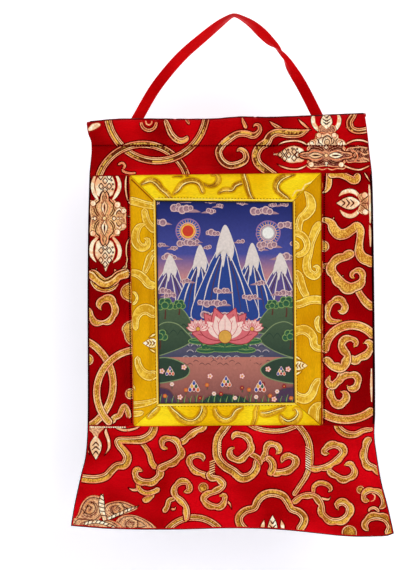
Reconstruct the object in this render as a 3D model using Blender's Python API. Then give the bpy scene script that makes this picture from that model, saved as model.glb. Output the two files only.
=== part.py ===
"""Small hanging scroll: a framed picture cloth in brocade, with a ribbon loop to hang it by.

Measures in the tables are millimetres. x runs to the right from the hook line, drop runs down
from the hook, and lift runs out of the cloth towards the viewer, who looks along +Y.
The origin is the inside of the ribbon's crease, where a hook or nail carries the scroll.
"""
import math

import bmesh
import bpy
from mathutils import Vector

MM = 0.001

# Cloth and lap sizes
THICK = 1.0
GAP = 0.3
SEAM_TUCK = 5.0
LAP_CLEAR = 0.6
LAP_RUN = 3.4
LINING_SHOWS = 1.0

# Heights of the back of each layer over the back of the lining
FIELD = THICK + GAP
LAP_RISE = THICK + GAP

# Rod sleeve along the top
SLEEVE_HALF = 4.5
SLEEVE_MID = (FIELD + THICK) / 2
SLEEVE_FLAP = 5.0
STITCH_DROP = 127.0

# Ribbon
RIBBON_WIDE = 11.0
RIBBON_THICK = 1.0
RIBBON_STEP = 6.0
CREASE_STEP = 2.0

# Outline of the cloth: x, drop
TOP_EDGE = (
    (-148, 103.2), (-134, 101.6), (-112, 100), (-24, 100), (6, 97.9), (38, 98.2), (131, 94.3),
)
BOTTOM_EDGE = (
    (-163, 505.4), (-123, 509.2), (-77, 509.5), (-4, 508.3), (43, 509.8), (112, 515.4),
    (150, 515.8), (159, 513),
)

# Side edges: drop, x
LEFT_EDGE = (
    (94, -147.2), (104, -147), (114.6, -145.6), (124.4, -142.5), (157, -143.6), (211, -145),
    (281, -145.5), (406, -145.5), (437, -147.6), (455, -151.9), (483, -158), (505, -161.8),
)
RIGHT_EDGE = (
    (94, 129.8), (108, 132.1), (128, 134.8), (162, 137.4), (216, 138.5), (308, 139.6),
    (393, 140.2), (417, 139.5), (437, 142), (464, 146.6), (486, 152.4), (513, 158.4),
)

# Seams under the heading and over the skirt: x, drop
UPPER_SEAM = ((-146, 156.9), (87, 154.1), (141, 153.2))
LOWER_SEAM = ((-147, 406), (-100, 406.8), (87, 405.9), (142, 408))

# Corners of the yellow frame and of the picture that show: x, drop
FRAME = ((-104, 156.4), (87, 154.1), (87, 405.9), (-100, 406.8))
WINDOW = ((-78.4, 181.4), (58.7, 182.8), (60.5, 383.5), (-75.1, 384.6))

# Soft folds, each a long swell: x and drop of its head and foot, half width, lift at both
FOLDS = (
    {"head": (-148, 425), "foot": (-160, 508), "half": 13, "lift": (0, 3.0)},
    {"head": (-118, 432), "foot": (-114, 509), "half": 20, "lift": (0, -2.4)},
    {"head": (-45, 424), "foot": (-52, 510), "half": 30, "lift": (0, 2.6)},
    {"head": (34, 430), "foot": (36, 510), "half": 26, "lift": (0, -2.2)},
    {"head": (96, 420), "foot": (112, 516), "half": 28, "lift": (0, 5.6)},
    {"head": (148, 448), "foot": (157, 514), "half": 10, "lift": (0, 3.2)},
    {"head": (-126, 170), "foot": (-128, 400), "half": 13, "lift": (0.5, 1.2)},
    {"head": (118, 180), "foot": (121, 400), "half": 15, "lift": (1.2, 0.4)},
    {"head": (-40, 138), "foot": (10, 150), "half": 12, "lift": (0.5, 0.9)},
)

# Ribbon from its left foot over the crease to its right foot. depth is behind the cloth's
# plane, turn is how far its face has turned from the viewer in degrees, and cup is how far
# its middle is pushed out of line where it is crumpled.
RIBBON_ROUTE = (
    {"x": -106, "drop": 116, "depth": 4.6, "turn": 0, "cup": 0},
    {"x": -94.5, "drop": 95, "depth": 4.6, "turn": 0, "cup": 0},
    {"x": -80.5, "drop": 71, "depth": 4.0, "turn": 0, "cup": 0},
    {"x": -66.5, "drop": 52.5, "depth": 3.2, "turn": 4, "cup": 0},
    {"x": -50.5, "drop": 35, "depth": 2.4, "turn": 12, "cup": 0.2},
    {"x": -29.5, "drop": 17, "depth": 1.6, "turn": 22, "cup": 0.5},
    {"x": -15, "drop": 5.5, "depth": 0.8, "turn": 38, "cup": 0.9},
    {"x": -5, "drop": -1, "depth": 0.2, "turn": 56, "cup": 1.5},
    {"x": 0, "drop": -2.9, "depth": 0, "turn": 62, "cup": 1.8},
    {"x": 6, "drop": -1.2, "depth": 0, "turn": 57, "cup": 1.5},
    {"x": 18, "drop": 5.5, "depth": 0.6, "turn": 36, "cup": 0.8},
    {"x": 28, "drop": 14, "depth": 1.4, "turn": 16, "cup": 0.4},
    {"x": 36.5, "drop": 22.5, "depth": 2.2, "turn": 30, "cup": 1.4},
    {"x": 43.5, "drop": 29, "depth": 2.6, "turn": 62, "cup": 2.8},
    {"x": 49, "drop": 36, "depth": 3.0, "turn": 100, "cup": 3.2},
    {"x": 56, "drop": 47, "depth": 3.4, "turn": 142, "cup": 1.6},
    {"x": 67.5, "drop": 65, "depth": 3.9, "turn": 170, "cup": 0.4},
    {"x": 83, "drop": 95, "depth": 4.6, "turn": 180, "cup": 0},
    {"x": 92.5, "drop": 115, "depth": 4.6, "turn": 180, "cup": 0},
)
CREASE_ROW = 8
CREASE_HALF = 8

# Colours in sRGB
SATIN_RED = (0.79, 0.05, 0.09)
SIDE_RED = (0.62, 0.03, 0.04)
YELLOW_LIGHT = (0.93, 0.75, 0.10)
YELLOW_DEEP = (0.82, 0.60, 0.10)
LINING_DARK = (0.16, 0.05, 0.05)
PICTURE_BLUE = (0.32, 0.38, 0.50)
RIBBON_RED = (0.74, 0.04, 0.06)


def curve_through(rows):
    """Smooth function through a table of rows (a, b) in rising a, straight past its ends."""
    count = len(rows)
    slopes = []
    for index in range(count):
        first = rows[max(index - 1, 0)]
        last = rows[min(index + 1, count - 1)]
        slopes.append((last[1] - first[1]) / (last[0] - first[0]))

    def value(a):
        if a <= rows[0][0]:
            return rows[0][1]
        for index in range(count - 1):
            a0, b0 = rows[index]
            a1, b1 = rows[index + 1]
            if a <= a1:
                span = a1 - a0
                t = (a - a0) / span
                start = (1 + 2 * t) * (1 - t) ** 2 * b0 + t * (1 - t) ** 2 * span * slopes[index]
                end = t * t * (3 - 2 * t) * b1 + t * t * (t - 1) * span * slopes[index + 1]
                return start + end
        return rows[-1][1]

    return value


top_edge = curve_through(TOP_EDGE)
bottom_edge = curve_through(BOTTOM_EDGE)
left_edge = curve_through(LEFT_EDGE)
right_edge = curve_through(RIGHT_EDGE)
upper_seam = curve_through(UPPER_SEAM)
lower_seam = curve_through(LOWER_SEAM)


def blend(a, b, t):
    return a + (b - a) * t


def spread(first, last, cells):
    """Evenly spaced values from first to last, both included."""
    return [blend(first, last, index / cells) for index in range(cells + 1)]


def grow(corners, margin):
    """The four corners, clockwise from the top left, moved outwards by margin each way."""
    signs = ((-1, -1), (1, -1), (1, 1), (-1, 1))
    return [(x + sx * margin, drop + sy * margin) for (x, drop), (sx, sy) in zip(corners, signs)]


FRAME_CUT = grow(FRAME, SEAM_TUCK)
PICTURE_CUT = grow(WINDOW, SEAM_TUCK)


def distance_outside(corners, x, drop):
    """Distance of a point outside a four-cornered outline, negative inside it."""
    furthest = -1e9
    for index in range(4):
        x0, d0 = corners[index]
        x1, d1 = corners[(index + 1) % 4]
        length = math.hypot(x1 - x0, d1 - d0)
        furthest = max(furthest, ((x - x0) * (d1 - d0) - (drop - d0) * (x1 - x0)) / length)
    return furthest


def lap_lift(corners, x, drop):
    """Lift of a sheet where it runs over the sheet that is cut to the given corners."""
    t = (distance_outside(corners, x, drop) - LAP_CLEAR) / LAP_RUN
    return LAP_RISE * (1 - min(max(t, 0), 1))


def fold_lift(x, drop):
    """Lift of the hanging cloth at a point, from all of its soft folds."""
    total = 0
    for fold in FOLDS:
        x0, d0 = fold["head"]
        x1, d1 = fold["foot"]
        length = math.hypot(x1 - x0, d1 - d0)
        along = ((x - x0) * (x1 - x0) + (drop - d0) * (d1 - d0)) / length
        across = ((x - x0) * (d1 - d0) - (drop - d0) * (x1 - x0)) / length
        past = max(-along, along - length, 0) / fold["half"]
        t = min(max(along / length, 0), 1)
        height = blend(fold["lift"][0], fold["lift"][1], t)
        total += height * math.exp(-(across / fold["half"]) ** 2 - past ** 2)
    return total


def world(x, drop, lift):
    """World point of a place on the cloth, lifted towards the viewer."""
    return Vector((x, -lift - fold_lift(x, drop), -drop)) * MM


def red_back(x, drop):
    return FIELD + lap_lift(FRAME_CUT, x, drop)


def yellow_back(x, drop):
    return FIELD + lap_lift(PICTURE_CUT, x, drop)


def lining_back(x, drop):
    return 0.0


def picture_back(x, drop):
    return FIELD


def material(name, srgb, roughness, sheen):
    """Cloth material with its colour given in sRGB."""
    made = bpy.data.materials.new(name)
    made.use_nodes = True
    shader = made.node_tree.nodes["Principled BSDF"]
    linear = [channel ** 2.2 for channel in srgb]
    shader.inputs["Base Color"].default_value = (*linear, 1)
    shader.inputs["Roughness"].default_value = roughness
    shader.inputs["Metallic"].default_value = 0
    shader.inputs["Sheen Weight"].default_value = sheen
    made.diffuse_color = (*linear, 1)
    return made


def add_body(name, back, front, surface):
    """Closed body between two grids of world points, back and front, of the same shape."""
    shape = bmesh.new()
    grids = [[[shape.verts.new(point) for point in row] for row in grid] for grid in (back, front)]
    rows = len(back)
    columns = len(back[0])
    for r in range(rows - 1):
        for c in range(columns - 1):
            for grid in grids:
                corners = (grid[r][c], grid[r][c + 1], grid[r + 1][c + 1], grid[r + 1][c])
                shape.faces.new(corners)
    rim = [(0, c) for c in range(columns)]
    rim += [(r, columns - 1) for r in range(1, rows)]
    rim += [(rows - 1, c) for c in range(columns - 2, -1, -1)]
    rim += [(r, 0) for r in range(rows - 2, 0, -1)]
    for (r0, c0), (r1, c1) in zip(rim, rim[1:] + rim[:1]):
        shape.faces.new((grids[0][r0][c0], grids[0][r1][c1], grids[1][r1][c1], grids[1][r0][c0]))
    bmesh.ops.recalc_face_normals(shape, faces=shape.faces)
    mesh = bpy.data.meshes.new(name)
    shape.to_mesh(mesh)
    shape.free()
    mesh.materials.append(surface)
    mesh.shade_smooth()
    mesh.set_sharp_from_angle(angle=math.radians(50))
    body = bpy.data.objects.new(name, mesh)
    bpy.context.collection.objects.link(body)
    return body


def add_sheet(name, places, back_lift, surface):
    """Sheet of cloth over a grid of places (x, drop), THICK deep in front of back_lift."""
    back = [[world(x, drop, back_lift(x, drop)) for x, drop in row] for row in places]
    front = [[world(x, drop, back_lift(x, drop) + THICK) for x, drop in row] for row in places]
    return add_body(name, back, front, surface)


def width_shares(positions, drop):
    """Shares of the cloth's width at a drop for a list of x, with both edges added."""
    left = left_edge(drop)
    wide = right_edge(drop) - left
    return [0] + [(x - left) / wide for x in positions] + [1]


def wide_columns(left, right):
    """x of a wide sheet's columns, close where it climbs onto the frame's left and right."""
    outer = [-128, left - LAP_CLEAR - LAP_RUN, left - LAP_CLEAR]
    inner = spread(left + 12, right - 12, 13)
    far = [right + LAP_CLEAR, right + LAP_CLEAR + LAP_RUN, 118]
    return outer + inner + far


def sleeve_half_depth(below_top, to_stitch):
    """Half the depth of the sleeve's cloth line, from its round top to its stitched foot."""
    t = (below_top - SLEEVE_HALF) / (to_stitch - SLEEVE_HALF)
    foot = THICK / 2 + GAP / 2
    return foot + (SLEEVE_HALF - foot) * (1 - min(max(t, 0), 1) ** 2)


def heading_line():
    """Rows of the heading's cloth line from its seam over the sleeve to the flap behind.

    Each row is (kind, value): a height over the seam, a share of the way from the stitches to
    the sleeve's round top in front or behind, an angle round that top, or a length of flap.
    """
    rows = [("seam", height) for height in (0, SEAM_TUCK + LAP_CLEAR, SEAM_TUCK + LAP_CLEAR + LAP_RUN)]
    rows += [("seam", 18), ("front", 0), ("front", 0.22), ("front", 0.5), ("front", 0.8)]
    rows += [("round", angle) for angle in (0, 36, 72, 108, 144, 180)]
    rows += [("behind", 0.8), ("behind", 0.5), ("behind", 0.22), ("behind", 0), ("flap", SLEEVE_FLAP)]
    return rows


def heading_place(kind, value, share):
    """Drop and lift of the heading's cloth line on one row, at a share of the width."""
    x = blend(left_edge(STITCH_DROP), right_edge(STITCH_DROP), share)
    top = top_edge(x)
    to_stitch = STITCH_DROP - top
    middle = THICK / 2
    if kind == "seam":
        drop = upper_seam(x) - value
        return drop, red_back(x, drop) + middle
    if kind == "flap":
        return STITCH_DROP + value, middle
    if kind == "round":
        angle = math.radians(value)
        below = SLEEVE_HALF * (1 - math.sin(angle))
        return top + THICK / 2 + below, SLEEVE_MID + SLEEVE_HALF * math.cos(angle)
    below = blend(to_stitch, SLEEVE_HALF, value)
    side = 1 if kind == "front" else -1
    return top + THICK / 2 + below, SLEEVE_MID + side * sleeve_half_depth(below, to_stitch)


def add_heading(surface):
    """Red heading: one cloth from the seam over the rod sleeve to the flap stitched behind."""
    shares = width_shares(wide_columns(FRAME_CUT[0][0], FRAME_CUT[1][0]), upper_seam(0))
    inside = []
    outside = []
    for share in shares:
        line = [heading_place(kind, value, share) for kind, value in heading_line()]
        inner = []
        outer = []
        for index, (drop, lift) in enumerate(line):
            before = line[max(index - 1, 0)]
            after = line[min(index + 1, len(line) - 1)]
            run = Vector((after[0] - before[0], after[1] - before[1])).normalized()
            across = Vector((run.y, -run.x)) * THICK / 2
            x = blend(left_edge(drop), right_edge(drop), share)
            outer.append(world(x, drop + across.x, lift + across.y))
            inner.append(world(x, drop - across.x, lift - across.y))
        inside.append(inner)
        outside.append(outer)
    return add_body("top_panel", inside, outside, surface)


def add_side_panel(name, edge, corners, surface):
    """Red strip between an outer edge of the cloth and one side of the yellow frame."""
    (x_top, d_top), (x_foot, d_foot) = corners
    steps = (SEAM_TUCK + LAP_CLEAR + LAP_RUN, SEAM_TUCK + LAP_CLEAR, 0)
    places = []
    for share in spread(0, 1, 18):
        row = []
        drop_middle = blend(d_top, d_foot, share)
        outer = edge(drop_middle)
        seam = blend(x_top, x_foot, share)
        away = 1 if outer > seam else -1
        columns = [outer, blend(outer, seam + away * steps[0], 0.5)]
        columns += [seam + away * step for step in steps]
        for x in columns:
            row.append((x, blend(upper_seam(x) + GAP, lower_seam(x) - GAP, share)))
        places.append(row)
    return add_sheet(name, places, red_back, surface)


def add_skirt(surface):
    """Red flared skirt from its seam to its wavy hem."""
    shares = width_shares(wide_columns(FRAME_CUT[3][0], FRAME_CUT[2][0]), lower_seam(0))
    steps = [0, SEAM_TUCK + LAP_CLEAR, SEAM_TUCK + LAP_CLEAR + LAP_RUN]
    places = []
    for step in steps + spread(20, 102, 9):
        row = []
        for share in shares:
            x_seam = blend(left_edge(lower_seam(0)), right_edge(lower_seam(0)), share)
            x_hem = blend(BOTTOM_EDGE[0][0], BOTTOM_EDGE[-1][0], share)
            full = bottom_edge(x_hem) - lower_seam(x_seam)
            drop = lower_seam(x_seam) + step * full / 102
            row.append((blend(left_edge(drop), right_edge(drop), share), drop))
        places.append(row)
    return add_sheet("bottom_panel", places, red_back, surface)


def add_lining(surface):
    """Dark lining from the sleeve's flap to just past the hem."""
    shares = width_shares(wide_columns(FRAME_CUT[3][0], FRAME_CUT[2][0]), lower_seam(0))
    start = STITCH_DROP + SLEEVE_FLAP + GAP + THICK / 2
    places = []
    for share_down in spread(0, 1, 30):
        row = []
        for share in shares:
            x_hem = blend(BOTTOM_EDGE[0][0], BOTTOM_EDGE[-1][0], share)
            drop = blend(start, bottom_edge(x_hem) + LINING_SHOWS, share_down)
            shows = LINING_SHOWS * min((drop - start) / 20, 1)
            x = blend(left_edge(drop) - shows, right_edge(drop) + shows, share)
            row.append((x, drop))
        places.append(row)
    return add_sheet("lining", places, lining_back, surface)


def add_picture(surface):
    """Printed cloth, tucked under the yellow strips all round."""
    places = []
    for down in spread(0, 1, 10):
        row = []
        for along in spread(0, 1, 6):
            top = [blend(a, b, along) for a, b in zip(PICTURE_CUT[0], PICTURE_CUT[1])]
            foot = [blend(a, b, along) for a, b in zip(PICTURE_CUT[3], PICTURE_CUT[2])]
            row.append((blend(top[0], foot[0], down), blend(top[1], foot[1], down)))
        places.append(row)
    return add_sheet("picture", places, picture_back, surface)


def add_border(name, first, second, cells, surface):
    """Yellow strip between two corners of the frame, its ends cut on the mitres."""
    outer = (Vector(FRAME_CUT[first]), Vector(FRAME_CUT[second]))
    inner = (Vector(WINDOW[first]), Vector(WINDOW[second]))
    wide = distance_outside(WINDOW, *outer[0].lerp(outer[1], 0.5))
    from_window = (0, SEAM_TUCK + LAP_CLEAR, SEAM_TUCK + LAP_CLEAR + LAP_RUN, 17, wide)
    run = (outer[1] - outer[0]).normalized() * GAP * 0.7
    places = []
    for distance in from_window:
        start = inner[0].lerp(outer[0], distance / wide) + run
        end = inner[1].lerp(outer[1], distance / wide) - run
        places.append([tuple(start.lerp(end, share)) for share in spread(0, 1, cells)])
    return add_sheet(name, places, yellow_back, surface)


def ribbon_stations():
    """Points along the ribbon, close together round its crease: place, run, turn and cup."""
    keys = ("x", "drop", "depth", "turn", "cup")
    lengths = [0]
    for first, last in zip(RIBBON_ROUTE, RIBBON_ROUTE[1:]):
        lengths.append(lengths[-1] + math.hypot(last["x"] - first["x"], last["drop"] - first["drop"]))
    curves = [curve_through([(s, row[key]) for s, row in zip(lengths, RIBBON_ROUTE)]) for key in keys]
    before = lengths[CREASE_ROW] - CREASE_HALF
    after = lengths[CREASE_ROW] + CREASE_HALF
    stops = spread(0, before, round(before / RIBBON_STEP))
    stops += spread(before, after, round((after - before) / CREASE_STEP))[1:]
    stops += spread(after, lengths[-1], round((lengths[-1] - after) / RIBBON_STEP))[1:]
    stations = []
    nearby = 0.5
    for stop in stops:
        x, drop, depth, turn, cup = [curve(stop) for curve in curves]
        ahead = min(stop + nearby, lengths[-1])
        behind = max(stop - nearby, 0)
        run = Vector((curves[0](ahead) - curves[0](behind), curves[1](ahead) - curves[1](behind)))
        stations.append((x, drop, depth, run.normalized(), math.radians(turn), cup))
    return stations


def behind_sleeve(x, drop, depth):
    """Depth of the ribbon's centre, kept clear of the back of the sleeve."""
    top = top_edge(x)
    below = max(drop - top, SLEEVE_HALF)
    half = sleeve_half_depth(below, STITCH_DROP - top)
    seat = half + THICK / 2 - SLEEVE_MID + GAP + RIBBON_THICK / 2
    start = 12
    t = min(max((drop - top + start) / start, 0), 1)
    return blend(depth, seat, t)


def add_ribbon(surface):
    """Ribbon loop: a flat strip that turns edge on at its crease and half turns on the right."""
    rings = []
    for x, drop, depth, run, turn, cup in ribbon_stations():
        out = Vector((run.y, -run.x))
        wide = Vector((out.x * math.cos(turn), math.sin(turn), -out.y * math.cos(turn)))
        along = Vector((run.x, 0, -run.y))
        thick = wide.cross(along).normalized()
        half_wide = math.sqrt((RIBBON_WIDE / 2) ** 2 - cup ** 2)
        ring = []
        for side, face in ((-1, -1), (0, -1), (1, -1), (1, 1), (0, 1), (-1, 1)):
            across = wide * side * half_wide + thick * (0.5 - abs(side)) * cup
            point = Vector((x, 0, -drop)) + across + thick * face * RIBBON_THICK / 2
            point.y += behind_sleeve(x + across.x, drop - across.z, depth)
            ring.append(point * MM)
        rings.append(ring)
    back = [[ring[0], ring[1], ring[2]] for ring in rings]
    front = [[ring[5], ring[4], ring[3]] for ring in rings]
    return add_body("ribbon", back, front, surface)


def build():
    for old in list(bpy.data.objects):
        bpy.data.objects.remove(old)
    satin = material("satin_red", SATIN_RED, 0.42, 0.4)
    side_satin = material("side_red", SIDE_RED, 0.48, 0.3)
    yellow = material("yellow_light", YELLOW_LIGHT, 0.42, 0.3)
    deep_yellow = material("yellow_deep", YELLOW_DEEP, 0.45, 0.3)
    add_lining(material("lining_dark", LINING_DARK, 0.9, 0.2))
    add_picture(material("picture_cloth", PICTURE_BLUE, 0.7, 0.1))
    add_border("border_top", 0, 1, 14, yellow)
    add_border("border_right", 1, 2, 16, deep_yellow)
    add_border("border_bottom", 2, 3, 14, yellow)
    add_border("border_left", 3, 0, 16, deep_yellow)
    add_heading(satin)
    add_side_panel("side_panel_left", left_edge, (FRAME[0], FRAME[3]), side_satin)
    add_side_panel("side_panel_right", right_edge, (FRAME[1], FRAME[2]), side_satin)
    add_skirt(satin)
    add_ribbon(material("ribbon_red", RIBBON_RED, 0.35, 0.3))


build()
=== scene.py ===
import math

import bmesh
import bpy
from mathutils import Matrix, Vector, noise

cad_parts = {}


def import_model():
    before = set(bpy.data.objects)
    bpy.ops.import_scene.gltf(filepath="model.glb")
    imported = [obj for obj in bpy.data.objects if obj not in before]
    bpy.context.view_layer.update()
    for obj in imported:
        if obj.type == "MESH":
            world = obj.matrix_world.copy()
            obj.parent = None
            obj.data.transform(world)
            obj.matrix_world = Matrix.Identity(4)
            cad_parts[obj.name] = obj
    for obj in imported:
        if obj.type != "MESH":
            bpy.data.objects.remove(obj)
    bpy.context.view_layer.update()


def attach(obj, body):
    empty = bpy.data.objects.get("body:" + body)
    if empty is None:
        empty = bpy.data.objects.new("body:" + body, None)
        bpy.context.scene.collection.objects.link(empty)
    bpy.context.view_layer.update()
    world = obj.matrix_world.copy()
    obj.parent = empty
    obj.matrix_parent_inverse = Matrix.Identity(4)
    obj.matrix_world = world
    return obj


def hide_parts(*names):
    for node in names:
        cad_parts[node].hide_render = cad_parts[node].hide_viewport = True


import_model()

# Small hanging scroll: red and yellow brocade round a picture cloth, hung by a ribbon loop.
# Tables are in millimetres: x to the right of the hook, drop below it, lift towards the viewer.
MM = 0.001

# Cloth and lap sizes, the same as in the solids
THICK = 1.0
GAP = 0.3
SEAM_TUCK = 5.0
LAP_CLEAR = 0.6
LAP_RUN = 3.4
LAP_SPARE = 0.6
LINING_SHOWS = 1.0
FIELD = THICK + GAP
LAP_RISE = THICK + GAP
SLEEVE_HALF = 4.5
SLEEVE_MID = (FIELD + THICK) / 2
SLEEVE_FLAP = 5.0
STITCH_DROP = 127.0

# Outline of the cloth: x, drop
TOP_EDGE = ((-148, 103.2), (-134, 101.6), (-112, 100), (-24, 100), (6, 97.9), (38, 98.2), (131, 94.3))
BOTTOM_EDGE = (
    (-163, 505.4), (-123, 509.2), (-77, 509.5), (-4, 508.3), (43, 509.8), (112, 515.4), (150, 515.8),
    (159, 513),
)

# Side edges: drop, x
LEFT_EDGE = (
    (94, -147.2), (104, -147), (114.6, -145.6), (124.4, -142.5), (157, -143.6), (211, -145),
    (281, -145.5), (406, -145.5), (437, -147.6), (455, -151.9), (483, -158), (505, -161.8),
)
RIGHT_EDGE = (
    (94, 129.8), (108, 132.1), (128, 134.8), (162, 137.4), (216, 138.5), (308, 139.6), (393, 140.2),
    (417, 139.5), (437, 142), (464, 146.6), (486, 152.4), (513, 158.4),
)

# Seams under the heading and over the skirt: x, drop
UPPER_SEAM = ((-146, 156.9), (87, 154.1), (141, 153.2))
LOWER_SEAM = ((-147, 406), (-100, 406.8), (87, 405.9), (142, 408))

# Corners of the yellow frame and of the picture that show: x, drop
FRAME = ((-104, 156.4), (87, 154.1), (87, 405.9), (-100, 406.8))
WINDOW = ((-78.4, 181.4), (58.7, 182.8), (60.5, 383.5), (-75.1, 384.6))

# Soft folds, each a long swell: x and drop of its head and foot, half width, lift at both
FOLDS = (
    {"head": (-148, 425), "foot": (-160, 508), "half": 13, "lift": (0, 3.0)},
    {"head": (-118, 432), "foot": (-114, 509), "half": 20, "lift": (0, -2.4)},
    {"head": (-45, 424), "foot": (-52, 510), "half": 30, "lift": (0, 2.6)},
    {"head": (34, 430), "foot": (36, 510), "half": 26, "lift": (0, -2.2)},
    {"head": (96, 420), "foot": (112, 516), "half": 28, "lift": (0, 5.6)},
    {"head": (148, 448), "foot": (157, 514), "half": 10, "lift": (0, 3.2)},
    {"head": (-126, 170), "foot": (-128, 400), "half": 13, "lift": (0.5, 1.2)},
    {"head": (118, 180), "foot": (121, 400), "half": 15, "lift": (1.2, 0.4)},
    {"head": (-40, 138), "foot": (10, 150), "half": 12, "lift": (0.5, 0.9)},
)

# Fine unevenness of hung cloth: wavelengths across and down, and its height
RIPPLE_ACROSS = 26
RIPPLE_DOWN = 38
RIPPLE_HIGH = 0.35


def curve_through(rows):
    """Smooth function through a table of rows (a, b) in rising a, straight past its ends."""
    count = len(rows)
    slopes = []
    for index in range(count):
        first = rows[max(index - 1, 0)]
        last = rows[min(index + 1, count - 1)]
        slopes.append((last[1] - first[1]) / (last[0] - first[0]))

    def value(a):
        if a <= rows[0][0]:
            return rows[0][1]
        for index in range(count - 1):
            a0, b0 = rows[index]
            a1, b1 = rows[index + 1]
            if a <= a1:
                span = a1 - a0
                t = (a - a0) / span
                start = (1 + 2 * t) * (1 - t) ** 2 * b0 + t * (1 - t) ** 2 * span * slopes[index]
                end = t * t * (3 - 2 * t) * b1 + t * t * (t - 1) * span * slopes[index + 1]
                return start + end
        return rows[-1][1]

    return value


top_edge = curve_through(TOP_EDGE)
bottom_edge = curve_through(BOTTOM_EDGE)
left_edge = curve_through(LEFT_EDGE)
right_edge = curve_through(RIGHT_EDGE)
upper_seam = curve_through(UPPER_SEAM)
lower_seam = curve_through(LOWER_SEAM)


def blend(a, b, t):
    return a + (b - a) * t


def clamp(a, low=0.0, high=1.0):
    return min(max(a, low), high)


def spread(first, last, cells):
    """Evenly spaced values from first to last, both included."""
    return [blend(first, last, index / cells) for index in range(cells + 1)]


def grow(corners, margin):
    """The four corners, clockwise from the top left, moved outwards by margin each way."""
    signs = ((-1, -1), (1, -1), (1, 1), (-1, 1))
    return [(x + sx * margin, drop + sy * margin) for (x, drop), (sx, sy) in zip(corners, signs)]


FRAME_CUT = grow(FRAME, SEAM_TUCK)
PICTURE_CUT = grow(WINDOW, SEAM_TUCK)


def distance_outside(corners, x, drop):
    """Distance of a point outside a four-cornered outline, negative inside it."""
    furthest = -math.inf
    for index in range(4):
        x0, d0 = corners[index]
        x1, d1 = corners[(index + 1) % 4]
        length = math.hypot(x1 - x0, d1 - d0)
        furthest = max(furthest, ((x - x0) * (d1 - d0) - (drop - d0) * (x1 - x0)) / length)
    return furthest


def lap_lift(corners, x, drop):
    """Lift of a sheet where it runs over the sheet that is cut to the given corners."""
    t = clamp((distance_outside(corners, x, drop) - LAP_CLEAR) / LAP_RUN)
    return LAP_RISE * (1 - t * t * (3 - 2 * t))


def fold_lift(x, drop):
    """Lift of the hanging cloth at a point, from all of its soft folds."""
    total = 0
    for fold in FOLDS:
        x0, d0 = fold["head"]
        x1, d1 = fold["foot"]
        length = math.hypot(x1 - x0, d1 - d0)
        along = ((x - x0) * (x1 - x0) + (drop - d0) * (d1 - d0)) / length
        across = ((x - x0) * (d1 - d0) - (drop - d0) * (x1 - x0)) / length
        past = max(-along, along - length, 0) / fold["half"]
        height = blend(fold["lift"][0], fold["lift"][1], clamp(along / length))
        total += height * math.exp(-(across / fold["half"]) ** 2 - past ** 2)
    return total


def ripple(x, drop):
    return RIPPLE_HIGH * noise.noise(Vector((x / RIPPLE_ACROSS, drop / RIPPLE_DOWN, 3.7)))


def world(x, drop, lift):
    """World point of a place on the cloth, lifted towards the viewer."""
    return Vector((x, -lift - fold_lift(x, drop) - ripple(x, drop), -drop)) * MM


def red_back(x, drop):
    return FIELD + lap_lift(FRAME_CUT, x, drop)


def yellow_back(x, drop):
    return FIELD + lap_lift(PICTURE_CUT, x, drop)


def red_point(x, drop, height):
    return world(x, drop, red_back(x, drop) + THICK + height)


def yellow_point(x, drop, height):
    return world(x, drop, yellow_back(x, drop) + THICK + height)


def picture_point(x, drop, height):
    return world(x, drop, FIELD + THICK + height)


def sleeve_half_depth(below_top, to_stitch):
    """Half the depth of the sleeve's cloth line, from its round top to its stitched foot."""
    t = clamp((below_top - SLEEVE_HALF) / (to_stitch - SLEEVE_HALF))
    foot = THICK / 2 + GAP / 2
    return foot + (SLEEVE_HALF - foot) * (1 - t ** 2)


def heading_point(x, drop, height):
    """Point on the heading's face. A drop above the top edge runs over it and down behind."""
    if drop >= STITCH_DROP:
        return red_point(x, drop, height)
    top = top_edge(x)
    to_stitch = STITCH_DROP - top
    below = drop - top
    reach = THICK / 2 + height
    if below >= SLEEVE_HALF:
        lift = SLEEVE_MID + sleeve_half_depth(below, to_stitch) + reach
        return world(x, drop, lift)
    quarter = SLEEVE_HALF * math.pi / 2
    if below >= -quarter:
        angle = math.acos(1 - below / SLEEVE_HALF) if below > 0 else below / SLEEVE_HALF
        radius = SLEEVE_HALF + reach
        lift = SLEEVE_MID + math.sin(angle) * radius
        rise = THICK / 2 * (1 - abs(math.sin(angle)))
        return world(x, top + SLEEVE_HALF + rise - math.cos(angle) * radius, lift)
    down = min(SLEEVE_HALF - below - quarter, to_stitch + SLEEVE_FLAP)
    half = sleeve_half_depth(min(down, to_stitch), to_stitch)
    return world(x, top + down, SLEEVE_MID - half - reach)


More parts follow.
